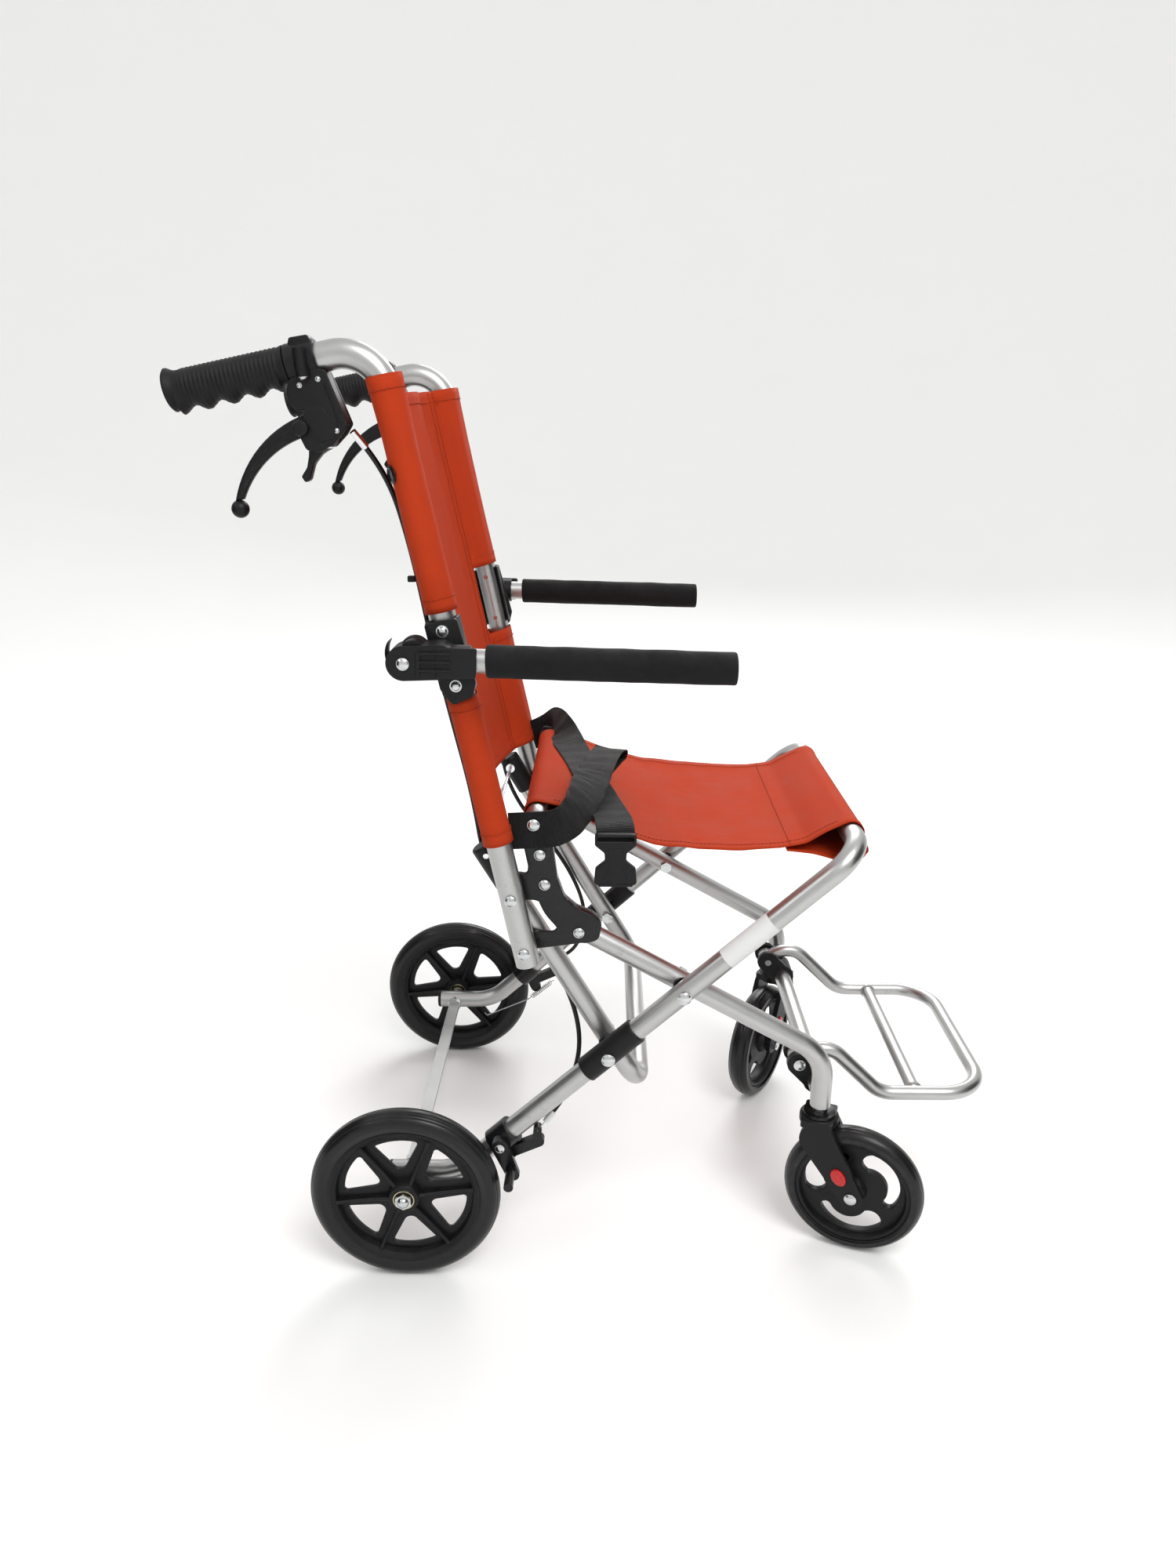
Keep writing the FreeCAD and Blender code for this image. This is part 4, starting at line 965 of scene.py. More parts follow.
@dataclass(frozen=True)
class Woven(Finish):
    """Woven cloth or webbing on cloth coordinates, with painted shade in the gaps between its threads."""

    pitch: float = 0.0007
    depth: float = 0.00012
    # Colour mixed in as painted shade between the threads; the yarn streaks darken towards it too.
    gap: tuple[float, float, float, float] = (0.1, 0.01, 0.005, 1.0)
    gap_share: float = 0.5
    sheen: float = 0.25
    rib: float = 0.0
    rib_pitch: float = 0.002

    def where(self, pen: Pen) -> Socket:
        """Cloth coordinates, in metres along and across the sheet."""
        return pen.node("ShaderNodeUVMap", uv_map="cloth").outputs[0]

    def detail(self, pen: Pen, shader: bpy.types.Node, where: Socket, parts: dict) -> None:
        """Threads, painted shade in their gaps, uneven yarn and the ribs of a webbing."""
        threads = EFFECTS.place(pen, Effect.WEAVE, {"Vector": where, "Pitch": self.pitch, "Slub": 0.5})
        shade = pen.times(threads.outputs["Gap"], self.gap_share)
        # Painted shade: the gaps between threads are darkened towards the gap colour.
        parts["colour"] = pen.mix(shade, parts["colour"], self.gap)
        # Uneven yarn tone, the thread's own colour: streaks towards the same darker colour.
        yarn = pen.node("ShaderNodeMapping", {"Vector": where, "Scale": (1.0, 40.0, 1.0)})
        streak = pen.ramp(pen.cloud(60.0, 2.0, 0.5, yarn.outputs[0]), 0.35, 0.65, 0.0, 0.14)
        parts["colour"] = pen.mix(streak, parts["colour"], self.gap)
        gloss = pen.times(threads.outputs["Thread"], -0.08)
        parts["roughness"] = pen.plus(parts["roughness"], gloss)
        if self.rib:
            side = pen.node("ShaderNodeSeparateXYZ", {0: where}).outputs[1]
            wave = pen.math("SINE", pen.times(side, 2 * math.pi / self.rib_pitch))
            self.bump(pen, shader, wave, self.rib)
        self.bump(pen, shader, threads.outputs["Height"], self.depth)
        shader.inputs["Sheen Weight"].default_value = self.sheen
        shader.inputs["Sheen Roughness"].default_value = 0.45


@dataclass(frozen=True)
class Reflex(Finish):
    """Red reflector: clear plastic over a bed of small corner prisms."""

    def detail(self, pen: Pen, shader: bpy.types.Node, where: Socket, parts: dict) -> None:
        """Prism cells with painted glints: random cells mixed towards a lighter red."""
        cells = pen.node("ShaderNodeTexVoronoi", {"Vector": where, "Scale": 520.0, "Randomness": 0.15},
            distance="MANHATTAN")
        lit = pen.node("ShaderNodeSeparateColor", {0: cells.outputs["Color"]}).outputs[0]
        # Painted glint: random prism cells are mixed towards a lighter red.
        parts["colour"] = pen.mix(pen.ramp(lit, 0.2, 0.9, 0.0, 0.4), parts["colour"], colour(222, 36, 30))
        self.bump(pen, shader, cells.outputs["Distance"], 0.0004)
        shader.inputs["Coat Weight"].default_value = 0.4
        shader.inputs["Coat Roughness"].default_value = 0.05


class Palette:
    """Every finish of the chair."""

    def __init__(self) -> None:
        """Makes the materials."""
        self.aluminium = Metal("anodised aluminium", colour(184, 184, 183), 0.34, uneven=0.05,
            dust=0.02).build()
        self.weld = Metal("weld bead", colour(172, 172, 170), 0.42, uneven=0.2, grain=500.0,
            grain_depth=0.0001).build()
        self.zinc = Metal("zinc plate", colour(205, 207, 208), 0.2, uneven=0.14, uneven_scale=120.0,
            scratch=0.7, dust=0.03).build()
        self.yellow_zinc = Metal("yellow zinc", colour(198, 186, 150), 0.24, uneven=0.2,
            uneven_scale=160.0).build()
        self.spring = Metal("spring steel", colour(178, 178, 180), 0.28, uneven=0.1, dust=0.05).build()
        self.chrome = Metal("chrome", colour(225, 226, 228), 0.1, uneven=0.04, scratch=0.3,
            dust=0.02).build()
        self.plastic = Moulded("moulded nylon", colour(17, 17, 19), 0.44, specular=0.24, dust=0.02,
            wear=0.25).build()
        self.gloss_plastic = Moulded("powder coated steel", colour(13, 13, 15), 0.27, specular=0.34,
            dust=0.02, grain=700.0, grain_depth=0.00003, wear=0.2).build()
        self.grip = Moulded("grip rubber", colour(20, 20, 21), 0.56, specular=0.22, grain=1100.0,
            grain_depth=0.00007, wear=0.2, dust=0.03).build()
        self.tyre = Moulded("tyre rubber", colour(17, 17, 18), 0.34, specular=0.26, grain=900.0,
            grain_depth=0.00003, wear=0.15, coat=0.16, dust=0.03).build()
        self.foam = Foam("pad foam", colour(19, 19, 20), specular=0.16, uneven=0.12, dust=0.03).build()
        self.sheath = Moulded("cable sheath", colour(11, 11, 12), 0.3, specular=0.3, grain=600.0,
            grain_depth=0.00002, wear=0.0, dust=0.02).build()
        self.label = Moulded("blank label", colour(214, 214, 213), 0.45, specular=0.2, wear=0.2,
            worn=(0.5, 0.5, 0.5, 1.0), grain_depth=0.00001, uneven=0.02).build()
        orange = colour(186, 60, 25)
        # The cloth's gap colour is painted shade between its threads; its yarn streaks use it too.
        self.cloth = Woven("orange nylon cloth", orange, 0.7, specular=0.1, pitch=0.00062, uneven=0.1,
            uneven_scale=22.0, gap=colour(128, 28, 8), sheen=0.0, dust=0.0).build()
        self.thread = Woven("orange sewing thread", colour(176, 58, 26), 0.6, specular=0.1, uneven=0.2,
            uneven_scale=200.0, sheen=0.05, pitch=0.0004, dust=0.0).build()
        # The webbing's gap colour is painted shade between its threads; its yarn streaks use it too.
        self.webbing = Woven("black webbing", colour(17, 17, 18), 0.56, specular=0.2, pitch=0.0011,
            depth=0.0003, gap=colour(4, 4, 4), gap_share=0.8, sheen=0.05, rib=0.0003, rib_pitch=0.0021,
            uneven=0.15, dust=0.02).build()
        self.reflector = Reflex("red reflector", colour(172, 10, 12), 0.22, specular=0.3, dust=0.02).build()


@dataclass
class Sided:
    """A sub-assembly that the chair has once on each side."""

    palette: Palette
    side: Side

    def own(self, stem: str) -> str:
        """The name of a piece, node, body or joint on this side."""
        return f"{stem}_{self.side.label}"


# Studio ------------------------------------------------------


@dataclass
class Studio:
    """Pale floor, soft lights and the camera."""

    eye: Vector = field(default_factory=lambda: Vector((-0.033, -1.169, 0.862)))
    pitch: float = math.radians(18.08)
    yaw: float = math.radians(-0.79)
    lens: float = 24.84
    floor_size: float = 14.0
    flat_r: float = 2.6
    wall_height: float = 4.4

    def build(self) -> None:
        """Makes the floor, the lights, the world and the camera."""
        self.floor()
        self.world()
        self.lamp("key", (0.8, -1.7, 2.7), 1.3, 48.0)
        self.lamp("fill", (-2.5, -1.2, 1.9), 1.4, 24.0)
        self.lamp("rim", (0.5, 2.4, 2.2), 1.6, 44.0)
        self.card("left flag", (-1.9, -0.5, 0.8), 2.2, 2.0)
        self.card("right flag", (2.0, -0.5, 0.8), 2.2, 2.0)
        bpy.context.scene.view_settings.view_transform = "Standard"
        camera = bpy.data.cameras.new("camera")
        camera.lens, camera.sensor_width = self.lens, 36.0
        holder = placed("camera", camera)
        ahead = Vector((math.sin(self.yaw) * math.cos(self.pitch), math.cos(self.yaw) * math.cos(self.pitch),
            -math.sin(self.pitch)))
        holder.location = self.eye
        holder.rotation_euler = ahead.to_track_quat("-Z", "Y").to_euler()
        bpy.context.scene.camera = holder

    def floor(self) -> None:
        """A wide floor that curves up into a back wall on every side."""
        half, rows = self.floor_size / 2, []
        bend = [((half - self.flat_r) * math.sin(a) + self.flat_r, self.wall_height * (1 - math.cos(a)))
            for a in (math.pi / 2 * k / 24 for k in range(25))]
        for radius, height in [(0.02, 0.0), (2.0, 0.0)] + bend:
            rows.append([Vector((radius * math.cos(a), radius * math.sin(a), height)) for a in turns(64)])
        draft = Draft().grid(rows, closed=True)
        draft.faces.append(tuple(reversed(range(len(rows[0])))))
        mesh = bpy.data.meshes.new("floor")
        mesh.from_pydata([tuple(p) for p in draft.points], [], draft.faces)
        for face in mesh.polygons:
            face.use_smooth = face.center.xy.length > 1.5
        made = placed("floor", mesh)
        material = Finish("floor paint", colour(247, 247, 246), 0.75, specular=0.15, uneven=0.01,
            uneven_scale=3.0, dust=0.0).build()
        mesh.materials.append(material)

    def card(self, name: str, place: tuple[float, float, float], wide: float, tall: float) -> None:
        """An upright dark card out of view, for the tubes to mirror.

        Args:
            name: Its name.
            place: Its middle.
            wide: Its width along Y.
            tall: Its height.
        """
        y, z = wide / 2, tall / 2
        corners = [(0, -y, -z), (0, y, -z), (0, y, z), (0, -y, z)]
        mesh = bpy.data.meshes.new(name)
        mesh.from_pydata(corners, [], [(0, 1, 2, 3)])
        made = placed(name, mesh)
        made.location = place
        mesh.materials.append(Finish(name, colour(40, 40, 42), 0.9, specular=0.0, uneven=0.1,
            dust=0.0).build())

    def world(self) -> None:
        """Even white surroundings."""
        world = bpy.data.worlds.new("studio")
        bpy.context.scene.world = world
        world.use_nodes = True
        sky = world.node_tree.nodes["Background"]
        sky.inputs["Color"].default_value = (1.0, 1.0, 1.0, 1.0)
        sky.inputs["Strength"].default_value = 0.86

    def lamp(self, name: str, place: tuple[float, float, float], size: float, power: float) -> None:
        """A square soft light aimed at the middle of the chair."""
        lamp = bpy.data.lights.new(name, "AREA")
        lamp.size, lamp.energy = size, power
        holder = placed(name, lamp)
        holder.location = place
        aim = Vector((0.0, 0.0, 0.45)) - Vector(place)
        holder.rotation_euler = aim.to_track_quat("-Z", "Y").to_euler()


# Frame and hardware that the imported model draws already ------


@dataclass
class Framework:
    """Gives every carried-over node its finish, and adds the blank label band."""

    palette: Palette
    label_start: float = 0.118
    label_end: float = 0.057
    label_lift: float = 0.0003

    def build(self) -> None:
        """Dresses the nodes and builds what goes on them."""
        p = self.palette
        worn_by = {
            p.aluminium: "front_frame_tube back_frame_tube backrest_tube brace_tube armrest_tube "
                         "footrest_frame footrest_cross_tube rear_cross_bar",
            p.zinc: "rear_axles front_frame_fasteners back_frame_fasteners caster_hardware",
            p.chrome: "release_wire lock_pin",
            p.plastic: "tube_plugs brace_sleeves side_bracket arm_brackets arm_hinge brake_housing "
                       "brake_lever lock_finger footrest_brackets brace_end_caps caster_fork caster_rim "
                       "rear_rim belt_buckle",
            p.gloss_plastic: "wheel_brake_mounts wheel_brake_arm",
            p.grip: "handle_grip",
            p.tyre: "caster_tyre rear_tyre",
            p.reflector: "caster_reflector",
            p.webbing: "lap_belt",
            p.cloth: "seat_fabric backrest_fabric",
            p.sheath: "brake_cable",
            p.foam: "armrest_pad",
        }
        finishes = {kind: finish for finish, kinds in worn_by.items() for kind in kinds.split()}
        for name, node in frame["nodes"].items():
            kind = name.removesuffix("_left").removesuffix("_right")
            for slot in node.material_slots:
                slot.material = finishes[kind]
            LOG.info("dressed %s as %s", name, finishes[kind].name)
        self.label()

    def label(self) -> None:
        """The plain white band round the right leg of the front frame."""
        ahead = heading(LAYOUT.front_rise)
        middle = pivot("frame_fold") + Vector((0, Side.RIGHT.y(LAYOUT.backrest_y), 0))
        radius = LAYOUT.tube_r + self.label_lift
        start, end = middle + ahead * self.label_start, middle + ahead * self.label_end
        length = (start - end).length
        lip = 0.0002
        profile = [(radius - self.label_lift * 0.9, 0.0), (radius - lip, 0.0), (radius, lip),
            (radius, length - lip), (radius - lip, length), (radius - self.label_lift * 0.9, length)]
        Piece("label_band", ring_lathe(profile, end, ahead), self.palette.label, Slot.TUBE,
            "front_frame").build()


# Slings ------------------------------------------------------


def ripple(x: float, y: float, z: float, size: float) -> float:
    """Soft seeded noise for slack cloth.

    Args:
        x: Place in metres.
        y: Place in metres.
        z: Place in metres.
        size: Width of a ripple in metres.

    Returns:
        A value between -1 and 1.
    """
    return noise.noise(Vector((x, y, z)) / size + Vector((3.1, 7.7, 1.9)))


def bump_at(value: float, middle: float, width: float) -> float:
    """A smooth hump of height 1 about a middle."""
    return math.exp(-((value - middle) / width) ** 2)


@dataclass(frozen=True)
class Fold:
    """A soft upright fold of the back cloth, deepest at the top edge; all in metres."""

    depth: float
    y: float
    width: float
    fade: float

    def height(self, y: float, drop: float) -> float:
        """How far it stands out at Y, at a drop below the top edge."""
        return self.depth * bump_at(y, self.y, self.width) * math.exp(-drop / self.fade)


FOLDS = (Fold(0.003, 0.104, 0.012, 0.25), Fold(0.003, -0.104, 0.012, 0.25), Fold(-0.0024, 0.045, 0.02, 0.09),
    Fold(0.0021, -0.055, 0.016, 0.12), Fold(-0.004, 0.118, 0.01, 0.07), Fold(0.003, 0.088, 0.013, 0.11),
    Fold(-0.0026, -0.112, 0.012, 0.16), Fold(0.0024, -0.085, 0.015, 0.2))


@dataclass
class BackSling:
    """Back cloth: one strip wrapped round both backrest tubes and stitched back on itself."""

    palette: Palette
    foot: float = 0.481
    top: float = 0.907
    gap_low: float = 0.627
    gap_high: float = 0.706
    sleeve_r: float = 0.0143
    seam_y: float = 0.15
    edge_bow: float = 0.003
    bow: float = 0.031
    flap: float = 0.014
    cloth: float = 0.0009
    hem: float = 0.012
    hem_rise: float = 0.0004
    loose: float = 0.0014
    sleeve_columns: int = 44
    panel_columns: int = 34

    def hollow(self, y: float) -> float:
        """How far forward the panel is at Y; it bows to the rear."""
        span = LAYOUT.backrest_y - LAYOUT.backrest_r - 0.006
        return -self.edge_bow - self.bow * (1 - (y / span) ** 2)

    def half_section(self) -> list[Point]:
        """One half of the cloth's section, from the stitched end round the tube to the middle.

        Returns:
            Points as (distance from the middle plane, forward).
        """
        y, r = LAYOUT.backrest_y, self.sleeve_r
        line = [(self.seam_y - self.flap, self.hollow(self.seam_y - self.flap) - 0.0016),
            (self.seam_y, self.hollow(self.seam_y) - 0.0016), (self.seam_y + 0.011, -0.0096)]
        line += [(y + r * math.sin(math.radians(a)), r * math.cos(math.radians(a)))
            for a in range(196, -17, -9)]
        line += [(self.seam_y + 0.018, 0.0112), (self.seam_y + 0.009, 0.004), (self.seam_y - 0.002,
            self.hollow(self.seam_y - 0.002) + 0.0004)]
        sleeve = even([Vector((a, b, 0)) for a, b in line], self.sleeve_columns)
        panel = [Vector((d, self.hollow(d), 0)) for d in (self.seam_y * (1 - k / self.panel_columns)
            for k in range(1, self.panel_columns + 1))]
        return [(p.x, p.y) for p in sleeve + panel]

    def heights(self) -> list[float]:
        """Heights of the rows, with close pairs where a hem begins."""
        step = 0.0003
        marks = [self.foot, self.foot + self.hem, self.foot + self.hem + step, self.gap_low - self.hem
            - step, self.gap_low - self.hem, self.gap_low, self.gap_high, self.gap_high + self.hem,
            self.gap_high + self.hem + step, self.top - self.hem - step, self.top - self.hem, self.top]
        rows = [marks[0]]
        for a, b in zip(marks, marks[1:]):
            runs = max(1, round((b - a) / 0.006))
            rows += [a + (b - a) * k / runs for k in range(1, runs + 1)]
        return rows

    def hem_at(self, z: float, sleeve: bool) -> float:
        """How much the folded hem stands out at a height."""
        edges = (self.foot, self.gap_low, self.gap_high, self.top) if sleeve else (self.foot, self.top)
        return self.hem_rise if any(abs(z - e) <= self.hem + 1e-6 for e in edges) else 0.0

    def slack(self, y: float, along: float, z: float) -> float:
        """How far the cloth stands off its plain shape.

        Args:
            y: Distance to the left.
            along: Share of the half section, 0 at the stitched end and 1 at the middle.
            z: Height.

        Returns:
            Offset in metres.
        """
        free = 1 - bump_at(z, self.foot, 0.02) * 0.5
        folds = sum(fold.height(y, self.top - z) for fold in FOLDS)
        sleeve_fold = -0.0024 * bump_at(along, 0.27 + 0.06 * math.sin(z * 19), 0.035) * math.exp(-abs(z
            - 0.84) / 0.09)
        sleeve_fold -= 0.0011 * bump_at(along, 0.33, 0.05) * bump_at(z, 0.57, 0.06)
        small = 0.0008 * ripple(y * 0.8, 0.0, z * 0.35, 0.03) + 0.0005 * ripple(y, 1.0, z, 0.018)
        return (folds + small) * free + sleeve_fold

    def build(self) -> None:
        """Builds the cloth, its seams and the eyelet."""
        half = self.half_section()
        count = len(half)
        section = [(-y, n, k / (count - 1)) for k, (y, n) in enumerate(half)]
        section += [(y, n, k / (count - 1)) for k, (y, n) in list(enumerate(half))[-2::-1]]
        heights = self.heights()
        rows = [[self.spot(section, k, z) for k in range(len(section))] for z in heights]
        lengths = [0.0]
        for (y0, n0, _), (y1, n1, _) in zip(section, section[1:]):
            lengths.append(lengths[-1] + math.hypot(y1 - y0, n1 - n0))
        wrap, total = self.sleeve_columns - 1, len(section)

        def kept(i: int, j: int) -> bool:
            """Whether the cloth is there; both sleeves are cut away at the arm bracket."""
            in_gap = heights[i] > self.gap_low - 1e-6 and heights[i + 1] < self.gap_high + 1e-6
            return not (in_gap and (j < wrap or j >= total - 1 - wrap))

        draft = Draft().grid(rows, keep=kept, spans=(heights, lengths))
        made = Piece("back_sling", draft, self.palette.cloth, Slot.CLOTH, "back_frame", ("backrest_fabric",),
            thickness=self.cloth, closed=False, sharp=50).build()
        seams = self.seams(rows, heights, wrap, total)
        self.eyelet()

    def spot(self, section: Sequence[tuple[float, float, float]], k: int, z: float) -> Vector:
        """A point of the cloth.

        Args:
            section: Points as (Y, forward, share of the half section).
            k: Index in the section.
            z: Height.

        Returns:
            The point with slack and hems.
        """
        y, n, along = section[k]
        y0, n0, _ = section[max(k - 1, 0)]
        y1, n1, _ = section[min(k + 1, len(section) - 1)]
        run = Vector((y1 - y0, n1 - n0)).normalized()
        out = Vector((-run.y, run.x))
        if out.dot(Vector((0.0, 1.0))) < 0 and abs(y) < self.seam_y:
            out = -out
        if abs(y) >= self.seam_y:
            away = Vector((y - math.copysign(LAYOUT.backrest_y, y), n))
            out = out if out.dot(away) > 0 else -out
        sleeve = abs(y) > self.seam_y - 0.001
        lift = self.slack(y, along, z) * (1 if not sleeve else 0.55) + self.hem_at(z, sleeve)
        if sleeve:
            lift = max(lift, -0.0007) + self.loose * bump_at(z, self.top, 0.035)
        base = LAYOUT.on_backrest(y + out.x * lift, z)
        return base + LAYOUT.fore * (n + out.y * lift)

    def seams(self, rows: Sequence[Sequence[Vector]], heights: Sequence[float], wrap: int,
            total: int) -> bpy.types.Object:
        """The stitching of the sleeve seams and the hems.

        Args:
            rows: Points of the cloth.
            heights: Height of each row.
            wrap: Column where the sleeve meets the panel.
            total: Number of columns.

        Returns:
            The stitching piece.
        """
        draft = Draft()
        lift = LAYOUT.fore * (self.cloth * 0.62)
        for column in (wrap + 1, wrap + 3, total - 2 - wrap, total - 4 - wrap):
            line = [row[column] + lift for row in rows]
            draft.merge(stitches(line, lambda i: LAYOUT.fore))
        for edge, inward in ((self.foot, 1), (self.gap_low, -1), (self.gap_high, 1), (self.top, -1)):
            goal = edge + inward * (self.hem - 0.002)
            row = rows[min(range(len(heights)), key=lambda i: abs(heights[i] - goal))]
            for span in (row[3:wrap - 1], row[total - wrap + 1:total - 3]):
                centre_y = math.copysign(LAYOUT.backrest_y, span[0].y)
                centre = LAYOUT.on_backrest(centre_y, span[0].z)
                line = [p + (p - centre).normalized() * (self.cloth * 0.62) for p in span]
                draft.merge(stitches(line, lambda i, s=span, c=centre: s[min(i, len(s) - 1)] - c))
            if edge in (self.foot, self.top):
                draft.merge(stitches([p + lift for p in row[wrap + 4:total - wrap - 4]],
                    lambda i: LAYOUT.fore))
        return Piece("back_sling_stitching", draft, self.palette.thread, Slot.CLOTH, "back_frame",
            closed=False).build()

    def eyelet(self) -> None:
        """The black eyelets at the back of each sleeve."""
        ring_r, rim, height = 0.0078, 0.003, 0.828
        for side in Side:
            middle = LAYOUT.on_backrest(side.y(LAYOUT.backrest_y), height)
            out = (-LAYOUT.fore * 0.86 + Vector((0, side.value * 0.5, 0))).normalized()
            seat = middle + out * (self.sleeve_r + self.cloth * 0.2)
            profile = [(ring_r - rim, -0.0006), (ring_r, -0.0006), (ring_r + 0.0003, 0.0006),
                (ring_r - rim * 0.45, 0.0017), (ring_r - rim, 0.0009)]
            draft = ring_lathe(profile, seat, out, 40)
            draft.merge(lathe([(0.0, 0.0004), (ring_r - rim * 0.9, 0.0004), (ring_r - rim * 0.9, -0.0004),
                (0.0, -0.0004)], seat, out, 32))
            Piece(f"back_eyelet_{side.label}", draft, self.palette.gloss_plastic, Slot.PLASTIC, "back_frame",
                sharp=30).build()


@dataclass
class SeatSling:
    """Seat cloth: a strip looped round the rear bar and, slackly, round the front bar."""

    palette: Palette
    rear_bar: Vector = field(default_factory=lambda: Vector((-0.099, 0.0, 0.494)))
    half: float = 0.138
    wrap_r: float = 0.0123
    cloth: float = 0.001
    hem: float = 0.012
    hem_rise: float = 0.0007
    droop: float = 0.0045
    rows: int = 150
    seam_x: float = 0.16

    def section(self) -> list[Vector]:
        """The cloth's line seen from the side, from its rear hem to its front hem.

        Returns:
            Points in X and Z.
        """
        def about(centre: Vector, angles: range) -> list[Vector]:
            """Points round a bar; the angles are in degrees."""
            return [centre + heading(math.radians(a)) * self.wrap_r for a in angles]

        front = LAYOUT.front_bar
        line = [Vector((-0.052, 0, 0.4862)), Vector((-0.072, 0, 0.485))]
        line += about(self.rear_bar, range(-62, -281, -12))
        line += [Vector((-0.073, 0, 0.501)), Vector((-0.05, 0, 0.4895)), Vector((-0.02, 0, 0.476)),
            Vector((0.02, 0, 0.4655)), Vector((0.065, 0, 0.46)), Vector((0.11, 0, 0.4582)),
            Vector((0.15, 0, 0.4592)), Vector((0.176, 0, 0.464)), Vector((0.197, 0, 0.4762))]
        line += about(front, range(112, -31, -12))
        line += [Vector((0.2385, 0, 0.4555)), Vector((0.232, 0, 0.4462)), Vector((0.219, 0, 0.4436)),
            Vector((0.205, 0, 0.4462)), Vector((0.182, 0, 0.453)), Vector((self.seam_x - 0.004, 0, 0.4573))]
        return even(line, self.rows)

    def columns(self) -> list[float]:
        """Y of each column, with close pairs where the side hems begin."""
        inner = self.half - self.hem
        middle = [-inner + 2 * inner * k / 44 for k in range(45)]
        edge = [inner + 0.0003, inner + 0.004, self.half]
        return [-y for y in edge[::-1]] + middle + edge

    def build(self) -> None:
        """Builds the cloth and its stitching."""
        line, columns = self.section(), self.columns()
        rows = []
        for i, centre in enumerate(line):
            ahead = (line[min(i + 1, len(line) - 1)] - line[max(i - 1, 0)]).normalized()
            out = Vector((-ahead.z, 0, ahead.x))
            share = i / (len(line) - 1)
            free = math.sin(math.pi * min(1.0, max(0.0,
                (centre.x + 0.07) / 0.26))) if centre.x > -0.07 else 0.0
            row = []
            for y in columns:
                edge = self.hem_rise if self.half - abs(y) < self.hem + 1e-5 else 0.0
                wave = 0.0016 * ripple(centre.x * 0.6, y, share, 0.05) + 0.0006 * ripple(centre.x, y * 1.6,
                    4.0, 0.02)
                pucker = 0.0004 * bump_at(centre.x, self.seam_x, 0.006) * math.sin(y * 2 * math.pi / 0.011)
                sag = -0.0025 * (1 - (y / self.half) ** 2)
                lift = (wave + pucker * bump_at(abs(y), self.half, 0.05)) * free + edge
                side_sway = 0.0014 * math.sin(centre.x * 46.0) * free
                row.append(centre + out * lift + Vector((0, y * (1 + side_sway * 4), 0))
                    + Vector((0, 0, (y / self.half * self.droop + sag) * free)))
            rows.append(row)
        lengths = run_lengths(line)
        draft = Draft().grid(rows, spans=(lengths, [y + self.half for y in columns]))
        made = Piece("seat_sling", draft, self.palette.cloth, Slot.CLOTH, None, ("seat_fabric",),
            thickness=self.cloth, closed=False, sharp=50).build()
        seams = self.seams(rows, line)
        for piece in (made, seams):
            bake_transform(piece)

    def seams(self, rows: Sequence[Sequence[Vector]], line: Sequence[Vector]) -> bpy.types.Object:
        """The stitching across the loops and along the side hems.

        Args:
            rows: Points of the cloth.
            line: Its side line.

        Returns:
            The stitching piece.
        """
        draft = Draft()
        up = Vector((0, 0, self.cloth * 0.62))
        upper = [i for i, p in enumerate(line) if p.z > 0.4545 and -0.085 < p.x < 0.21 and 20 < i < self.rows
            - 28]
        for goal in (self.seam_x, -0.062):
            row = rows[min(upper, key=lambda i: abs(line[i].x - goal))]
            draft.merge(stitches([p + up for p in row], lambda i: Vector((0, 0, 1))))
        for column in (2, len(rows[0]) - 3):
            draft.merge(stitches([rows[i][column] + up for i in upper], lambda i: Vector((0, 0, 1))))
        return Piece("seat_sling_stitching", draft, self.palette.thread, Slot.CLOTH, closed=False).build()


# Belt --------------------------------------------------------


@dataclass
class Strap:
    """Flat webbing that follows given stations of a centre and a width direction."""

    width: float = 0.038
    thick: float = 0.0015
    samples: int = 120

    def draw(self, stations: Sequence[tuple[tuple[float, float, float], tuple[float, float,
            float]]]) -> Draft:
        """Sweeps the webbing's section.

        Args:
            stations: Centres and width directions.

        Returns:
            The closed surface.
        """
        centres = glide([Vector(c) for c, _ in stations], self.samples)
        marks = [Vector(c) for c, _ in stations]
        rows = []
        half, t = self.width / 2, self.thick / 2
        edge = [(half * 0.86, t), (half * 0.93, t * 1.25), (half, t * 0.6)]
        lower = [(-w, -h) for w, h in edge[::-1]] + [(w, -h) for w, h in edge]
        section = lower + [(-w, -h) for w, h in lower]
        for i, centre in enumerate(centres):
            ahead = (centres[min(i + 1, len(centres) - 1)] - centres[max(i - 1, 0)]).normalized()
            share = i / (len(centres) - 1) * (len(marks) - 1)
            k = min(int(share), len(marks) - 2)
            blend = share - k
            blend = blend * blend * (3 - 2 * blend)
            wide = Vector(stations[k][1]).normalized().lerp(Vector(stations[k + 1][1]).normalized(), blend)
            wide = (wide - ahead * wide.dot(ahead)).normalized()
            out = ahead.cross(wide)
            rows.append([centre + wide * w + out * h for w, h in section])
        widths = [w + half for w, _ in section] + [0.0]
        return Draft().grid(rows, closed=True, caps=True, spans=(run_lengths(centres), widths))


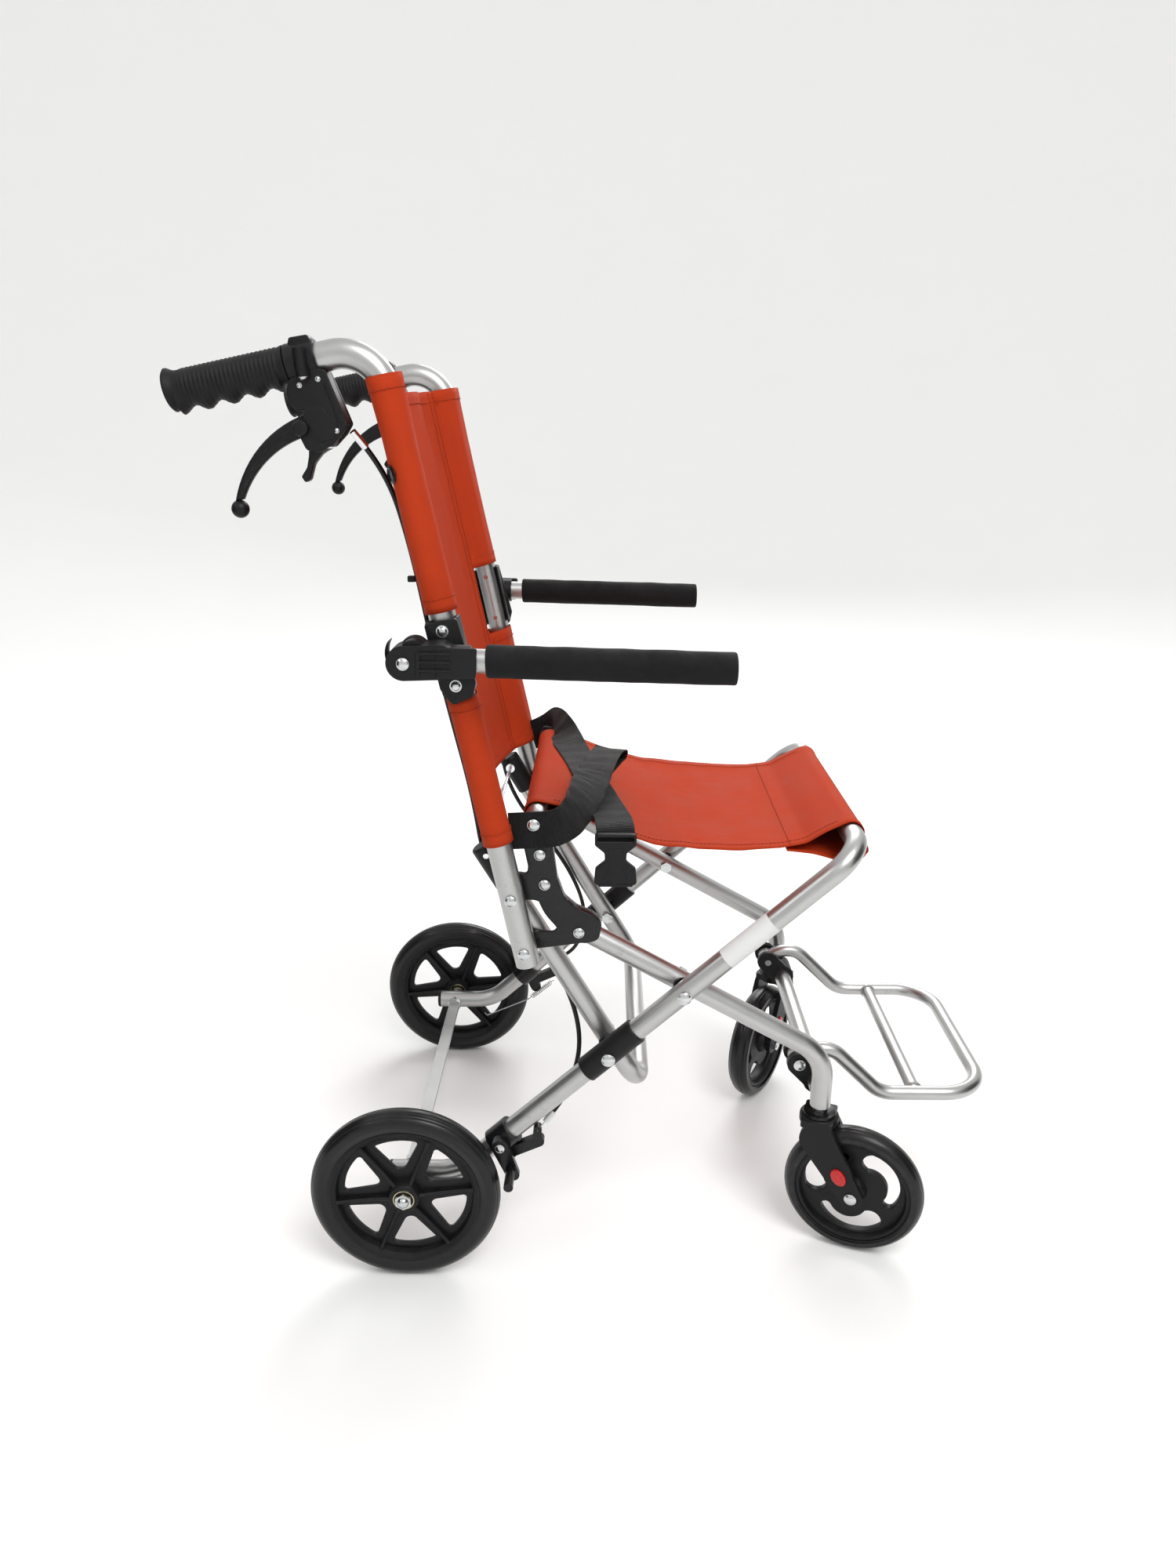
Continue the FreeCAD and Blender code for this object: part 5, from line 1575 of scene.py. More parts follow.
@dataclass
class LapBelt:
    """Lap belt: a half from each side bracket, loosely crossed on the seat, and its hanging buckle half."""

    palette: Palette

    def build(self) -> None:
        """Builds both straps and the buckle."""
        near = [((-0.124, -0.1765, 0.489), (0, 0, 1)), ((-0.104, -0.1765, 0.49), (0, 0, 1)),
            ((-0.08, -0.1765, 0.491), (0, 0.05, 1)), ((-0.064, -0.168, 0.497), (-0.25, 0.35, 0.9)),
            ((-0.053, -0.14, 0.507), (-0.55, 0.4, 0.72)), ((-0.046, -0.105, 0.515), (-0.75, 0.35, 0.5)),
            ((-0.04, -0.07, 0.52), (-0.9, 0.2, 0.25)), ((-0.033, -0.036, 0.5235), (-1, 0.15, 0.0)),
            ((-0.026, -0.008, 0.524), (-1, 0.2, -0.1)), ((-0.022, 0.006, 0.5205), (-1, 0.25, -0.1)),
            ((-0.024, 0.008, 0.514), (-1, 0.3, 0.0)), ((-0.031, -0.004, 0.5085), (-1, 0.3, 0.1)),
            ((-0.04, -0.026, 0.505), (-1, 0.25, 0.1)), ((-0.047, -0.05, 0.5035), (-1, 0.2, 0.1))]
        far = [((-0.124, 0.1765, 0.489), (0, 0, 1)), ((-0.106, 0.1765, 0.494), (0.15, 0, 1)),
            ((-0.099, 0.171, 0.506), (0.6, -0.1, 0.75)), ((-0.092, 0.152, 0.5145), (0.95, -0.1, 0.25)),
            ((-0.08, 0.1, 0.511), (1, 0.15, 0.0)), ((-0.061, 0.035, 0.502), (1, 0.2, -0.12)),
            ((-0.044, -0.038, 0.496), (1, 0.2, -0.16)), ((-0.031, -0.105, 0.4935), (1, 0.18, -0.12)),
            ((-0.022, -0.15, 0.4945), (1, 0.1, -0.05)), ((-0.02, -0.17, 0.4925), (1, 0.05, 0)),
            ((-0.0195, -0.1775, 0.486), (1, 0, 0)), ((-0.0195, -0.178, 0.48), (1, 0, 0))]
        strap = Strap()
        Piece("lap_belt_right", strap.draw(near), self.palette.webbing, Slot.WEBBING, "back_frame",
            ("lap_belt",), sharp=50).build()
        Piece("lap_belt_left", strap.draw(far), self.palette.webbing, Slot.WEBBING, "back_frame",
            sharp=50).build()
        self.buckle()
        self.tack()

    def tack(self) -> None:
        """Box stitching where the webbing is turned back through the buckle."""
        draft = Draft()
        y = -0.179
        for z in (0.4868, 0.489):
            line = [Vector((x / 1000, y + (z - 0.4868) * 0.6, z)) for x in range(-36, -2, 3)]
            draft.merge(stitches(line, lambda i: Vector((0, -1, 0)), thick=0.0003))
        Piece("lap_belt_tack", draft, self.palette.webbing, Slot.WEBBING, "back_frame", closed=False).build()

    def buckle(self) -> None:
        """The hanging half: a slotted bar, a waisted body and a raised panel."""
        mid, y, top = -0.0195, -0.178, 0.488

        def outline(half: Sequence[Point], radius: float) -> list[Point]:
            """A rounded outline that is the same on both sides; half is (across, down)."""
            both = [(mid + x, top - z) for x, z in half] + [(mid - x, top - z) for x, z in half[::-1]]
            return rounded_outline(both, radius)

        shell = outline([(0.0205, 0.0), (0.0205, 0.012), (0.011, 0.02), (0.0105, 0.029), (0.02, 0.037),
            (0.0215, 0.054)], 0.004)
        slot = outline([(0.0178, 0.0035), (0.0178, 0.0075)], 0.0012)
        panel = outline([(0.008, 0.015), (0.007, 0.035), (0.013, 0.049)], 0.002)
        mouth = outline([(0.017, 0.053), (0.017, 0.0552)], 0.0008)
        body = Plate(shell, y - 0.0042, y + 0.0042, 0.0014, [slot]).draw()
        raised = Plate(panel, y - 0.005, y + 0.005, 0.0007).draw()
        lip = Plate(mouth, y - 0.0048, y + 0.0048, 0.0005).draw()
        Piece("buckle_half", body.merge(raised).merge(lip), self.palette.plastic, Slot.PLASTIC, "back_frame",
            ("belt_buckle",), sharp=35).build()


# Handles, hand brakes and cables -----------------------------


@dataclass
class PushHandle(Sided):
    """Rubber grip with ribs all round and four finger hollows below."""

    length: float = 0.104
    radius: float = 0.0147
    past_end: float = 0.003
    flange_r: float = 0.0182
    finger_depth: float = 0.0052
    fingers: float = 4.0
    ribs: int = 22
    rib_depth: float = 0.00075
    sides: int = 56

    def reach(self, share: float, down: float) -> float:
        """Radius of the grip.

        Args:
            share: Share of the way from the rear end to the front.
            down: 1 straight down, -1 straight up.

        Returns:
            The radius in metres.
        """
        ends = bump_at(share, 0.0, 0.045) * (self.flange_r - self.radius)
        ends += bump_at(share, 1.0, 0.035) * 0.0012
        ribbed = 1.0 if 0.12 < share < 0.94 else 0.0
        ring = (0.5 + 0.5 * math.cos(2 * math.pi * share * self.ribs
            * 1.22)) ** 0.6 * self.rib_depth * ribbed
        belly = max(0.0, down) ** 1.5
        inside = 1.0 if 0.06 < share < 0.93 else max(0.0, 1 - abs(share - 0.5) * 2)
        crest = 0.5 + 0.5 * math.cos(2 * math.pi * (share - 0.06) / 0.87 * self.fingers)
        fingers = belly * (0.0012 + self.finger_depth * crest) * inside
        return self.radius + ends + ring * (1 - 0.55 * belly) + fingers

    def build(self) -> None:
        """Builds the grip over the end of the handle tube."""
        y = self.side.y(LAYOUT.backrest_y)
        axis = LAYOUT.handle_axis
        rear = LAYOUT.handle_end(y) + axis * self.past_end
        up = Vector((axis.z, 0, -axis.x))
        rows, steps = [], 180
        angles = turns(self.sides)
        for i in range(steps + 1):
            share = i / steps
            centre = rear - axis * (self.length * share)
            rows.append([centre + (ACROSS * math.cos(a) + up * math.sin(a)) * self.reach(share, -math.sin(a))
                for a in angles])
        dome = [[rear + axis * rise + (p - rear) * shrink for p in rows[0]] for shrink,
            rise in ((0.35, 0.003), (0.7, 0.0027), (0.9, 0.0016))]
        front, turned_in = rear - axis * self.length, 0.0012
        inner = [p - (p - front).normalized() * turned_in for p in rows[-1]]
        draft = Draft().grid([*dome, *rows, inner], closed=True, caps=True)
        Piece(self.own("push_grip"), draft, self.palette.grip, Slot.GRIP, "back_frame",
            (self.own("handle_grip"),), sharp=60).build()


def through(a: Point, b: Point, c: Point, steps: int = 14) -> list[Point]:
    """Points of the arc through three points.

    Args:
        a: Start.
        b: A point on the way.
        c: End.
        steps: Runs along the arc.

    Returns:
        The points, ends included.
    """
    ax, ay, bx, by, cx, cy = *a, *b, *c
    d = 2 * (ax * (by - cy) + bx * (cy - ay) + cx * (ay - by))
    ux = ((ax * ax + ay * ay) * (by - cy) + (bx * bx + by * by) * (cy - ay) + (cx * cx + cy * cy)
        * (ay - by)) / d
    uy = ((ax * ax + ay * ay) * (cx - bx) + (bx * bx + by * by) * (ax - cx) + (cx * cx + cy * cy)
        * (bx - ax)) / d
    start, via, end = (math.atan2(p[1] - uy, p[0] - ux) for p in (a, b, c))
    sweep = (end - start) % (2 * math.pi)
    if (via - start) % (2 * math.pi) > sweep:
        sweep -= 2 * math.pi
    radius = math.hypot(ax - ux, ay - uy)
    return [(ux + radius * math.cos(start + sweep * k / steps), uy + radius * math.sin(start + sweep * k
        / steps)) for k in range(steps + 1)]


@dataclass
class HandBrake(Sided):
    """Clamp, housing, squeeze lever and parking lock finger of one handle."""

    width: float = 0.024
    lever_width: float = 0.0095
    ball_r: float = 0.0079
    clamp_r: float = 0.0162
    clamp_length: float = 0.027

    def build(self) -> None:
        """Builds the three moving groups."""
        self.housing()
        self.lever()
        self.finger()

    def housing(self) -> None:
        """The clamp round the handle and the box that holds lever and finger."""
        y, out, half = self.side.y(LAYOUT.backrest_y), self.side.value, self.width / 2
        outline = [(-0.2985, 0.904), (-0.2795, 0.9135), (-0.268, 0.911), (-0.2515, 0.8675), (-0.257, 0.859),
            (-0.2665, 0.8495), (-0.278, 0.8435), (-0.289, 0.846), (-0.294, 0.857), (-0.289, 0.868),
            (-0.2872, 0.88), (-0.2945, 0.8775), (-0.3005, 0.884), (-0.3025, 0.893), (-0.301, 0.899)]
        radii = [0.003, 0.004, 0.003, 0.004, 0.006, 0.01, 0.008, 0.006, 0.006, 0.01, 0.0025, 0.003, 0.008,
            0.006, 0.003]
        outer = rounded_outline(outline, radii)
        wall = 0.0048
        draft = Draft()
        for sign in (-1, 1):
            draft.plate(outer, y + sign * half, y + sign * (half - wall), 0.0013)
        spine = [(-0.296, 0.904), (-0.279, 0.9125), (-0.268, 0.9105), (-0.2525, 0.868), (-0.258, 0.864),
            (-0.274, 0.889), (-0.286, 0.896)]
        draft.plate(rounded_outline(spine, 0.002), y - half + 0.003, y + half - 0.003, 0.001)
        rib = [(-0.27, 0.901), (-0.265, 0.901), (-0.2545, 0.87), (-0.259, 0.868)]
        draft.plate(rounded_outline(rib, 0.0015), y + out * half, y + out * (half + 0.0011), 0.0005)
        cheek = arc_points((-0.279, 0.873), 0.01, 20, 250, 20) + [(-0.276, 0.853), (-0.264, 0.856),
            (-0.261, 0.87)]
        draft.plate(cheek, y + out * half, y + out * (half + 0.0009), 0.0004)
        draft.merge(across((-0.292, 0.864), y + out * half, y + out * (half + 0.0042), 0.0066, 0.0014))
        axis = LAYOUT.handle_axis
        grip_front = LAYOUT.handle_end(y) + axis * PushHandle.past_end - axis * PushHandle.length
        start = grip_front - axis * 0.0006
        r0 = LAYOUT.backrest_r + 0.0002
        profile = [(r0, 0.0), (self.clamp_r - 0.001, 0.0), (self.clamp_r, 0.0012),
            (self.clamp_r, self.clamp_length - 0.0012), (self.clamp_r - 0.001, self.clamp_length),
            (r0, self.clamp_length)]
        draft.merge(ring_lathe(profile, start, -axis, 56))
        top = start - axis * (self.clamp_length * 0.48) + Vector((0, 0, self.clamp_r - 0.0015))
        lug = rounded_outline([(top.x - 0.0105, top.z - 0.004), (top.x - 0.0085, top.z + 0.0035),
            (top.x + 0.0075, top.z + 0.006), (top.x + 0.0105, top.z - 0.001)], 0.0025)
        draft.plate(lug, y - 0.0085, y + 0.0085, 0.0012)
        boss = Vector((-0.2868, y + out * 0.0125, 0.92))
        barrel = [(-0.001, 0.0035, 0.008), (0.0, 0.0035, -0.006), (0.001, 0.003, -0.0145)]
        draft.merge(tube([boss + Vector((x, out * beside, z)) for x, beside, z in barrel], 0.0056, 28))
        Piece(self.own("brake_body"), draft, self.palette.plastic, Slot.PLASTIC, "back_frame",
            (self.own("brake_housing"),), sharp=32).build()
        metal = dome_screw(Vector((-0.2858, y + out * 0.0155, 0.9052)), Vector((0.1, 0, -1)), 0.0036)
        for x, z in ((-0.2745, 0.9035), (-0.2905, 0.8985), (-0.2615, 0.862)):
            metal.merge(dome_screw(Vector((x, y + out * (half - 0.0001), z)), Vector((0, out, 0)), 0.0017,
                True))
        Piece(self.own("brake_body_screws"), metal, self.palette.zinc, Slot.ZINC, "back_frame",
            sharp=35).build()

    def lever(self) -> None:
        """Curved squeeze lever with a ball at its tip."""
        y, half = self.side.y(LAYOUT.backrest_y), self.lever_width / 2
        upper = through((-0.2885, 0.8762), (-0.33, 0.851), (-0.3575, 0.803))
        lower = through((-0.35, 0.8045), (-0.3265, 0.8375), (-0.2935, 0.8565))
        outline = upper + lower + arc_points((-0.292, 0.864), 0.0085, -75, 50, 8)
        draft = Plate(outline, y - half, y + half, 0.0028).draw()
        tip = Vector((-0.3545, y, 0.7962))
        ball = [(self.ball_r * math.sin(math.radians(a)), -self.ball_r * math.cos(math.radians(a)))
            for a in range(0, 181, 10)]
        ball[0], ball[-1] = (0.0, -self.ball_r), (0.0, self.ball_r)
        draft.merge(lathe(ball, tip, Vector((0, 1, 0)), 28))
        inner = through((-0.306, 0.861), (-0.33, 0.842), (-0.348, 0.815), 10)
        groove = [(x + 0.0016, z + 0.002) for x, z in inner]
        groove += [(x - 0.001, z - 0.0012) for x, z in inner[::-1]]
        draft.plate(groove, y - half - 0.0004, y + half + 0.0004, 0.0003)
        Piece(self.own("squeeze_lever"), draft, self.palette.plastic, Slot.PLASTIC, self.own("brake_lever"),
            (self.own("brake_lever"),), sharp=40).build()

    def finger(self) -> None:
        """Parking lock finger below the housing."""
        y = self.side.y(LAYOUT.backrest_y)
        outline = [(-0.2885, 0.847), (-0.289, 0.841), (-0.2912, 0.8317), (-0.2968, 0.8237),
            (-0.2936, 0.8188), (-0.2896, 0.8208), (-0.285, 0.8345), (-0.278, 0.8425), (-0.2665, 0.8495),
            (-0.262, 0.856), (-0.27, 0.859), (-0.285, 0.852)]
        radii = [0.003, 0.008, 0.008, 0.002, 0.0018, 0.004, 0.012, 0.012, 0.006, 0.003, 0.006, 0.004]
        draft = Plate(rounded_outline(outline, radii), y - 0.0062, y + 0.0062, 0.0016).draw()
        Piece(self.own("parking_finger"), draft, self.palette.plastic, Slot.PLASTIC, self.own("lock_finger"),
            (self.own("lock_finger"),), sharp=40).build()


CABLE_ROUTE = ((-0.247, 0.186, 0.857), (-0.236, 0.179, 0.842), (-0.222, 0.166, 0.811),
    (-0.2135, 0.157, 0.773), (-0.2055, 0.151, 0.729), (-0.1975, 0.149, 0.681), (-0.188, 0.147, 0.631),
    (-0.178, 0.143, 0.582), (-0.168, 0.138, 0.534), (-0.161, 0.135, 0.492), (-0.156, 0.134, 0.452),
    (-0.141, 0.134, 0.414), (-0.117, 0.136, 0.379), (-0.093, 0.14, 0.345), (-0.073, 0.145, 0.309),
    (-0.059, 0.15, 0.272), (-0.055, 0.156, 0.236), (-0.063, 0.165, 0.203), (-0.075, 0.175, 0.18),
    (-0.09, 0.186, 0.166))


@dataclass
class BrakeCable(Sided):
    """Sheathed cable from a hand brake down behind the back cloth to the wheel brake."""

    radius: float = 0.0025
    length: float = 0.75

    def build(self) -> None:
        """Builds the cable, its ferrules and its tie."""
        route = [Vector((x, self.side.y(y), z)) for x, y, z in CABLE_ROUTE]
        line = glide(route, 260)
        draft = tube(line, self.radius, 16)
        cable = Piece(self.own("brake_cable_sheath"), draft, self.palette.sheath, Slot.CABLE, None,
            (self.own("brake_cable"),), sharp=50).build()
        ends = Draft()
        upper = [line[0] - (line[1] - line[0]).normalized() * 0.006, line[2], line[4]]
        ends.merge(tube(upper, 0.0033, 20))
        top = Piece(self.own("cable_ferrule_top"), ends, self.palette.chrome, Slot.ZINC, "back_frame",
            sharp=35).build()
        back = line[-1] - line[-2]
        low = tube([line[-1] - back.normalized() * 0.01, line[-1], line[-1] + back.normalized() * 0.004],
            lambda share: 0.0036 if share < 0.8 else 0.0028, 20)
        wire = tube([line[-1], line[-1] + back.normalized() * 0.016], 0.0008, 8)
        bottom = Piece(self.own("cable_ferrule_low"), low.merge(wire), self.palette.zinc, Slot.ZINC,
            "front_frame", sharp=35).build()
        tie_at = min(range(len(line)), key=lambda i: abs(line[i].z - 0.73))
        ahead = (line[tie_at + 1] - line[tie_at]).normalized()
        loop = ring_lathe([(self.radius + 0.0001, -0.002), (self.radius + 0.0012, -0.002),
            (self.radius + 0.0012, 0.002), (self.radius + 0.0001, 0.002)], line[tie_at], ahead, 24)
        head = Plate(rounded_outline([(-0.0035, -0.0028), (0.0035, -0.0028), (0.0035, 0.0028),
            (-0.0035, 0.0028)], 0.001), -0.0025, 0.0025, 0.0005).draw()
        place = line[tie_at] + Vector((-self.radius - 0.0032, self.side.y(0.001), 0))
        Piece(self.own("cable_tie"), loop.merge(head.moved(Matrix.Translation(place))), self.palette.plastic,
            Slot.PLASTIC, "back_frame", sharp=35).build()
        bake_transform(cable)


# Armrests ----------------------------------------------------


@dataclass
class Armrest(Sided):
    """Foam pad over the arm tube, its ribbed hinge and the bracket on the backrest tube."""

    y: float = 0.224
    start: float = -0.134
    end: float = 0.084
    radius: float = 0.0149
    tube_r: float = 0.011
    drop: float = math.radians(1.6)
    line_up: float = 0.0015

    def centre(self, x: float) -> Vector:
        """Point of the pad's axis at X."""
        hinge = pivot(self.own("armrest_flip"))
        return Vector((x, self.side.y(self.y), hinge.z + self.line_up - (x - hinge.x) * math.tan(self.drop)))

    def build(self) -> None:
        """Builds the pad, the hinge details and the bracket."""
        self.pad()
        self.hinge()
        self.bracket()

    def pad(self) -> None:
        """The foam sleeve, a little soft at its ends."""
        start, end = self.centre(self.start), self.centre(self.end)
        axis = (end - start).normalized()
        length = (end - start).length
        spokes, steps, lip = [Vector((0, math.cos(a), math.sin(a))) for a in turns(48)], 60, 0.0022
        rows = []
        for i in range(steps + 1):
            share = i / steps
            row = []
            for out in spokes:
                soft = 0.0005 * ripple(share * 0.2, out.y * 0.02, out.z * 0.02 + self.side.value, 0.02)
                row.append(start + axis * (length * share) + out * (self.radius + soft))
            rows.append(row)
        ends = [[[centre + axis * (sign * d) + out * (self.radius - c) for out in spokes] for d,
            c in ((0.0008, 0.0003), (0.0018, 0.001), (lip, 0.0024))] for centre,
            sign in ((start, -1), (end, 1))]
        inner = [[start + axis * (length * share + sign * lip) + out * (self.tube_r + 0.0002)
            for out in spokes] for share, sign in ((1.0, 1), (0.0, -1))]
        loop = ends[0][::-1] + rows + ends[1] + inner
        draft = Draft().grid(loop + loop[:1], closed=True)
        made = Piece(self.own("arm_pad"), draft, self.palette.foam, Slot.FOAM, self.own("armrest"),
            (self.own("armrest_pad"),), sharp=60).build()
        plug_r = self.tube_r - 0.0002
        cap = lathe([(0.0, 0.0), (plug_r, 0.0), (plug_r, 0.0012), (plug_r - 0.0015, 0.0022), (0.0, 0.0024)],
            self.centre(self.end) + axis * 0.0002, axis, 40)
        Piece(self.own("arm_end_plug"), cap, self.palette.plastic, Slot.PLASTIC, self.own("armrest"),
            sharp=35).build()

    def hinge(self) -> None:
        """Ribs, rim and stop flap on the arm hinge."""
        y, out = self.side.y(self.y), self.side.value
        face = 0.014
        draft = Draft()
        for z in (0.6775, 0.67, 0.6625):
            rib = rounded_outline([(-0.1955, z - 0.0013), (-0.167, z - 0.0017), (-0.1655, z),
                (-0.167, z + 0.0005), (-0.1955, z + 0.0009)], 0.0005, 3)
            draft.plate(rib, y + out * (face - 0.001), y + out * (face + 0.0024), 0.0005)
        web = rounded_outline([(-0.1965, 0.6795), (-0.1925, 0.6795), (-0.194, 0.656), (-0.1975, 0.6575)],
            0.0008, 3)
        draft.plate(web, y + out * (face - 0.001), y + out * (face + 0.0016), 0.0005)
        block = rounded_outline([(-0.18, 0.6825), (-0.144, 0.6815), (-0.143, 0.68), (-0.1445, 0.6545),
            (-0.18, 0.6545)], 0.0025)
        draft.plate(block, y + out * (face - 0.004), y + out * (face + 0.0004), 0.0012)
        draft.merge(across((-0.2005, 0.6755), y - out * 0.0145, y - out * 0.004, 0.0135, 0.0015))
        Piece(self.own("arm_hinge_ribs"), draft, self.palette.plastic, Slot.PLASTIC, self.own("armrest"),
            sharp=35).build()
        curve = through((-0.2215, 0.6865), (-0.2245, 0.674), (-0.2195, 0.662), 12)
        flap = curve + [(x + 0.0011, z) for x, z in curve[::-1]]
        Piece(self.own("arm_stop_flap"), Plate(flap, y - 0.009, y + 0.009, 0.0003).draw(),
            self.palette.plastic, Slot.PLASTIC, self.own("armrest"), sharp=40).build()

    def bracket(self) -> None:
        """Box-shaped bracket with two bolts, its sides wrapped past the backrest tube."""
        out = self.side.value
        tube_y = LAYOUT.backrest_y
        draft = Draft()

        def lean_point(n: float, z: float) -> Point:
            """X, Z of a point that far forward of the tube at a height."""
            p = LAYOUT.on_backrest(0.0, z) + LAYOUT.fore * n
            return (p.x, p.z)

        face = [lean_point(n, z) for n, z in ((-0.015, 0.7), (0.015, 0.7), (0.0175, 0.66), (0.0185, 0.64),
            (0.013, 0.628), (-0.007, 0.624), (-0.015, 0.64))]
        draft.plate(rounded_outline(face, [0.003, 0.003, 0.01, 0.004, 0.005, 0.004, 0.005]),
            self.side.y(tube_y + 0.013), self.side.y(tube_y + 0.0205), 0.0012)
        for n0, n1 in ((-0.015, -0.013), (0.013, 0.0152)):
            wall = [lean_point(n0, 0.7), lean_point(n1, 0.7), lean_point(n1, 0.632), lean_point(n0, 0.634)]
            draft.plate(rounded_outline(wall, 0.0008, 3), self.side.y(tube_y - 0.006),
                self.side.y(tube_y + 0.015), 0.0006)
        hinge = pivot(self.own("armrest_flip"))
        lug = [lean_point(-0.004, 0.6835), (hinge.x, hinge.z + 0.013), (hinge.x - 0.0135, hinge.z),
            (hinge.x, hinge.z - 0.013), lean_point(-0.004, 0.652)]
        draft.plate(rounded_outline(lug, 0.008), self.side.y(tube_y + 0.013), self.side.y(self.y - 0.0149),
            0.001)
        Piece(self.own("arm_bracket"), draft, self.palette.plastic, Slot.PLASTIC, "back_frame",
            ("arm_brackets",) if out < 0 else (), sharp=35).build()
        heads = Draft()
        for z in (0.691, 0.641):
            seat = LAYOUT.on_backrest(self.side.y(tube_y + 0.0205), z)
            heads.merge(dome_screw(seat, Vector((0, out, 0)), 0.0043))
        Piece(self.own("arm_bracket_bolts"), heads, self.palette.zinc, Slot.ZINC, "back_frame",
            sharp=35).build()


# Wheels ------------------------------------------------------


def tyre_rings(radius: float, depth: float, width: float, grooves: Sequence[float]) -> list[Point]:
    """Section of a solid tyre.

    Args:
        radius: Outer radius.
        depth: From the tread to the bead.
        width: Overall width.
        grooves: Places of the tread grooves, as shares of the half width.

    Returns:
        A closed outline as (radius, along).
    """
    half = width / 2
    outline = []
    for step in range(-24, 25):
        a = math.radians(90 * step / 24)
        along = half * math.sin(a)
        r = radius - half * 0.86 * (1 - math.cos(a))
        cut = sum(bump_at(along / half, g * s, 0.035) for g in grooves for s in (-1, 1))
        outline.append((r - 0.0009 * cut, along))
    bead = radius - depth
    for s in (1, -1):
        wall = [(radius - half * 0.86 - 0.001, half), (bead + 0.0062, half * 0.98),
            (bead + 0.005, half * 0.9), (bead + 0.0016, half * 0.86), (bead, half * 0.8)]
        outline += [(r, s * along) for r, along in (wall if s > 0 else wall[::-1])]
    return outline


@dataclass
class RearWheel(Sided):
    """Eight inch wheel: solid tyre, six-spoked rim with rounded windows, bearings."""

    radius: float = 0.1
    tyre_depth: float = 0.02
    tyre_width: float = 0.027
    rim_r: float = 0.0799
    ring_in: float = 0.0705
    half_width: float = 0.0112
    web_half: float = 0.0028
    hub_r: float = 0.0165
    hub_half: float = 0.014
    bore: float = 0.0052
    spokes: int = 6
    first_spoke: float = 7.0

    def build(self) -> None:
        """Builds the tyre, the rim and the bearings."""
        body = self.own("rear_wheel")
        centre = pivot(self.own("rear_wheel_spin"))
        lo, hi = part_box(self.own("rear_tyre"))
        centre = Vector((centre.x, (lo.y + hi.y) / 2, centre.z))
        tyre = ring_lathe(tyre_rings(self.radius, self.tyre_depth, self.tyre_width, (0.3, 0.62)), centre,
            ACROSS, 120)
        Piece(self.own("wheel_tyre"), tyre, self.palette.tyre, Slot.TYRE, body, (self.own("rear_tyre"),),
            sharp=40).build()
        Piece(self.own("wheel_rim"), self.rim(centre), self.palette.plastic, Slot.PLASTIC, body,
            (self.own("rear_rim"),), sharp=30).build()
        bearings = Draft()
        for s in (-1, 1):
            face = centre + ACROSS * (s * self.hub_half)
            bearings.merge(ring_lathe([(self.bore, -0.0004), (0.0072, 0.0), (0.0074, -0.0006),
                (0.0098, -0.0006), (0.0101, 0.0002), (0.0112, 0.0002), (0.0114, -0.002),
                (self.bore, -0.002)], face, ACROSS * s, 48))
        Piece(self.own("wheel_bearings"), bearings, self.palette.yellow_zinc, Slot.ZINC, body,
            sharp=30).build()

    def window(self, middle: float) -> list[Point]:
        """Rounded opening between two spokes.

        Args:
            middle: Its direction from the hub, in degrees.

        Returns:
            The outline about the hub.
        """
        outer, inner, spread = 0.0645, 0.0235, 22.0
        points = [(inner * math.cos(math.radians(middle)), inner * math.sin(math.radians(middle)))]
        points += arc_points((0.0, 0.0), outer, middle - spread, middle + spread, 6)
        return rounded_outline(points, [0.0075, 0.0085, 0.05, 0.05, 0.05, 0.05, 0.05, 0.0085])

    def rim(self, centre: Vector) -> Draft:
        """The moulded rim.

        Args:
            centre: The wheel's centre.

        Returns:
            The closed surfaces.
        """
        h = self.half_width
        profile = [(self.rim_r, -h), (self.rim_r, h), (self.rim_r - 0.0022, h + 0.0008),
            (self.rim_r - 0.004, h - 0.0004), (self.ring_in + 0.002, h - 0.003), (self.ring_in, 0.0032),
            (self.ring_in, -0.0032), (self.ring_in + 0.002, -h + 0.003), (self.rim_r - 0.004, -h + 0.0004),
            (self.rim_r - 0.0022, -h - 0.0008)]
        draft = ring_lathe(profile, centre, ACROSS, 96)
        rim = arc_points((0.0, 0.0), self.ring_in + 0.0015, 0, 354, 59)
        windows = [self.window(self.first_spoke + 30 + 60 * k) for k in range(self.spokes)]
        place = Matrix.Translation(centre)
        draft.merge(Plate(rim, -self.web_half, self.web_half, 0.0011, windows).draw().moved(place))
        face = self.hub_half
        half = [(self.bore, face), (0.0115, face), (0.0122, face - 0.0008), (self.hub_r - 0.0012, face - 0.0012),
            (self.hub_r, face - 0.003)]
        hub = [(r, -along) for r, along in half] + [(self.hub_r + 0.0022, 0.0)] + half[::-1]
        draft.merge(ring_lathe(hub, centre, ACROSS, 64))
        for k in range(self.spokes):
            turn = -math.radians(self.first_spoke + 60 * k)
            draft.merge(self.rib().moved(place @ Matrix.Rotation(turn, 4, "Y")))
        return draft

    def rib(self) -> Draft:
        """One spoke's upright rib, along X from the hub to the ring."""
        rows = []
        for share in (0.0, 0.1, 0.35, 0.7, 0.93, 1.0):
            x = self.hub_r - 0.002 + (self.ring_in + 0.003 - self.hub_r + 0.002) * share
            tall = 0.0112 - 0.003 * math.sin(math.pi * share) - 0.0012 * share
            thick = 0.0016 + 0.0008 * (1 - math.sin(math.pi * share))
            soft = thick * 0.45
            rows.append([Vector((x, y, z)) for y, z in ((-tall, -thick + soft), (-tall + soft, -thick),
                (tall - soft, -thick), (tall, -thick + soft), (tall, thick - soft), (tall - soft, thick),
                (-tall + soft, thick), (-tall, thick - soft))])
        return Draft().grid(rows, closed=True, caps=True)


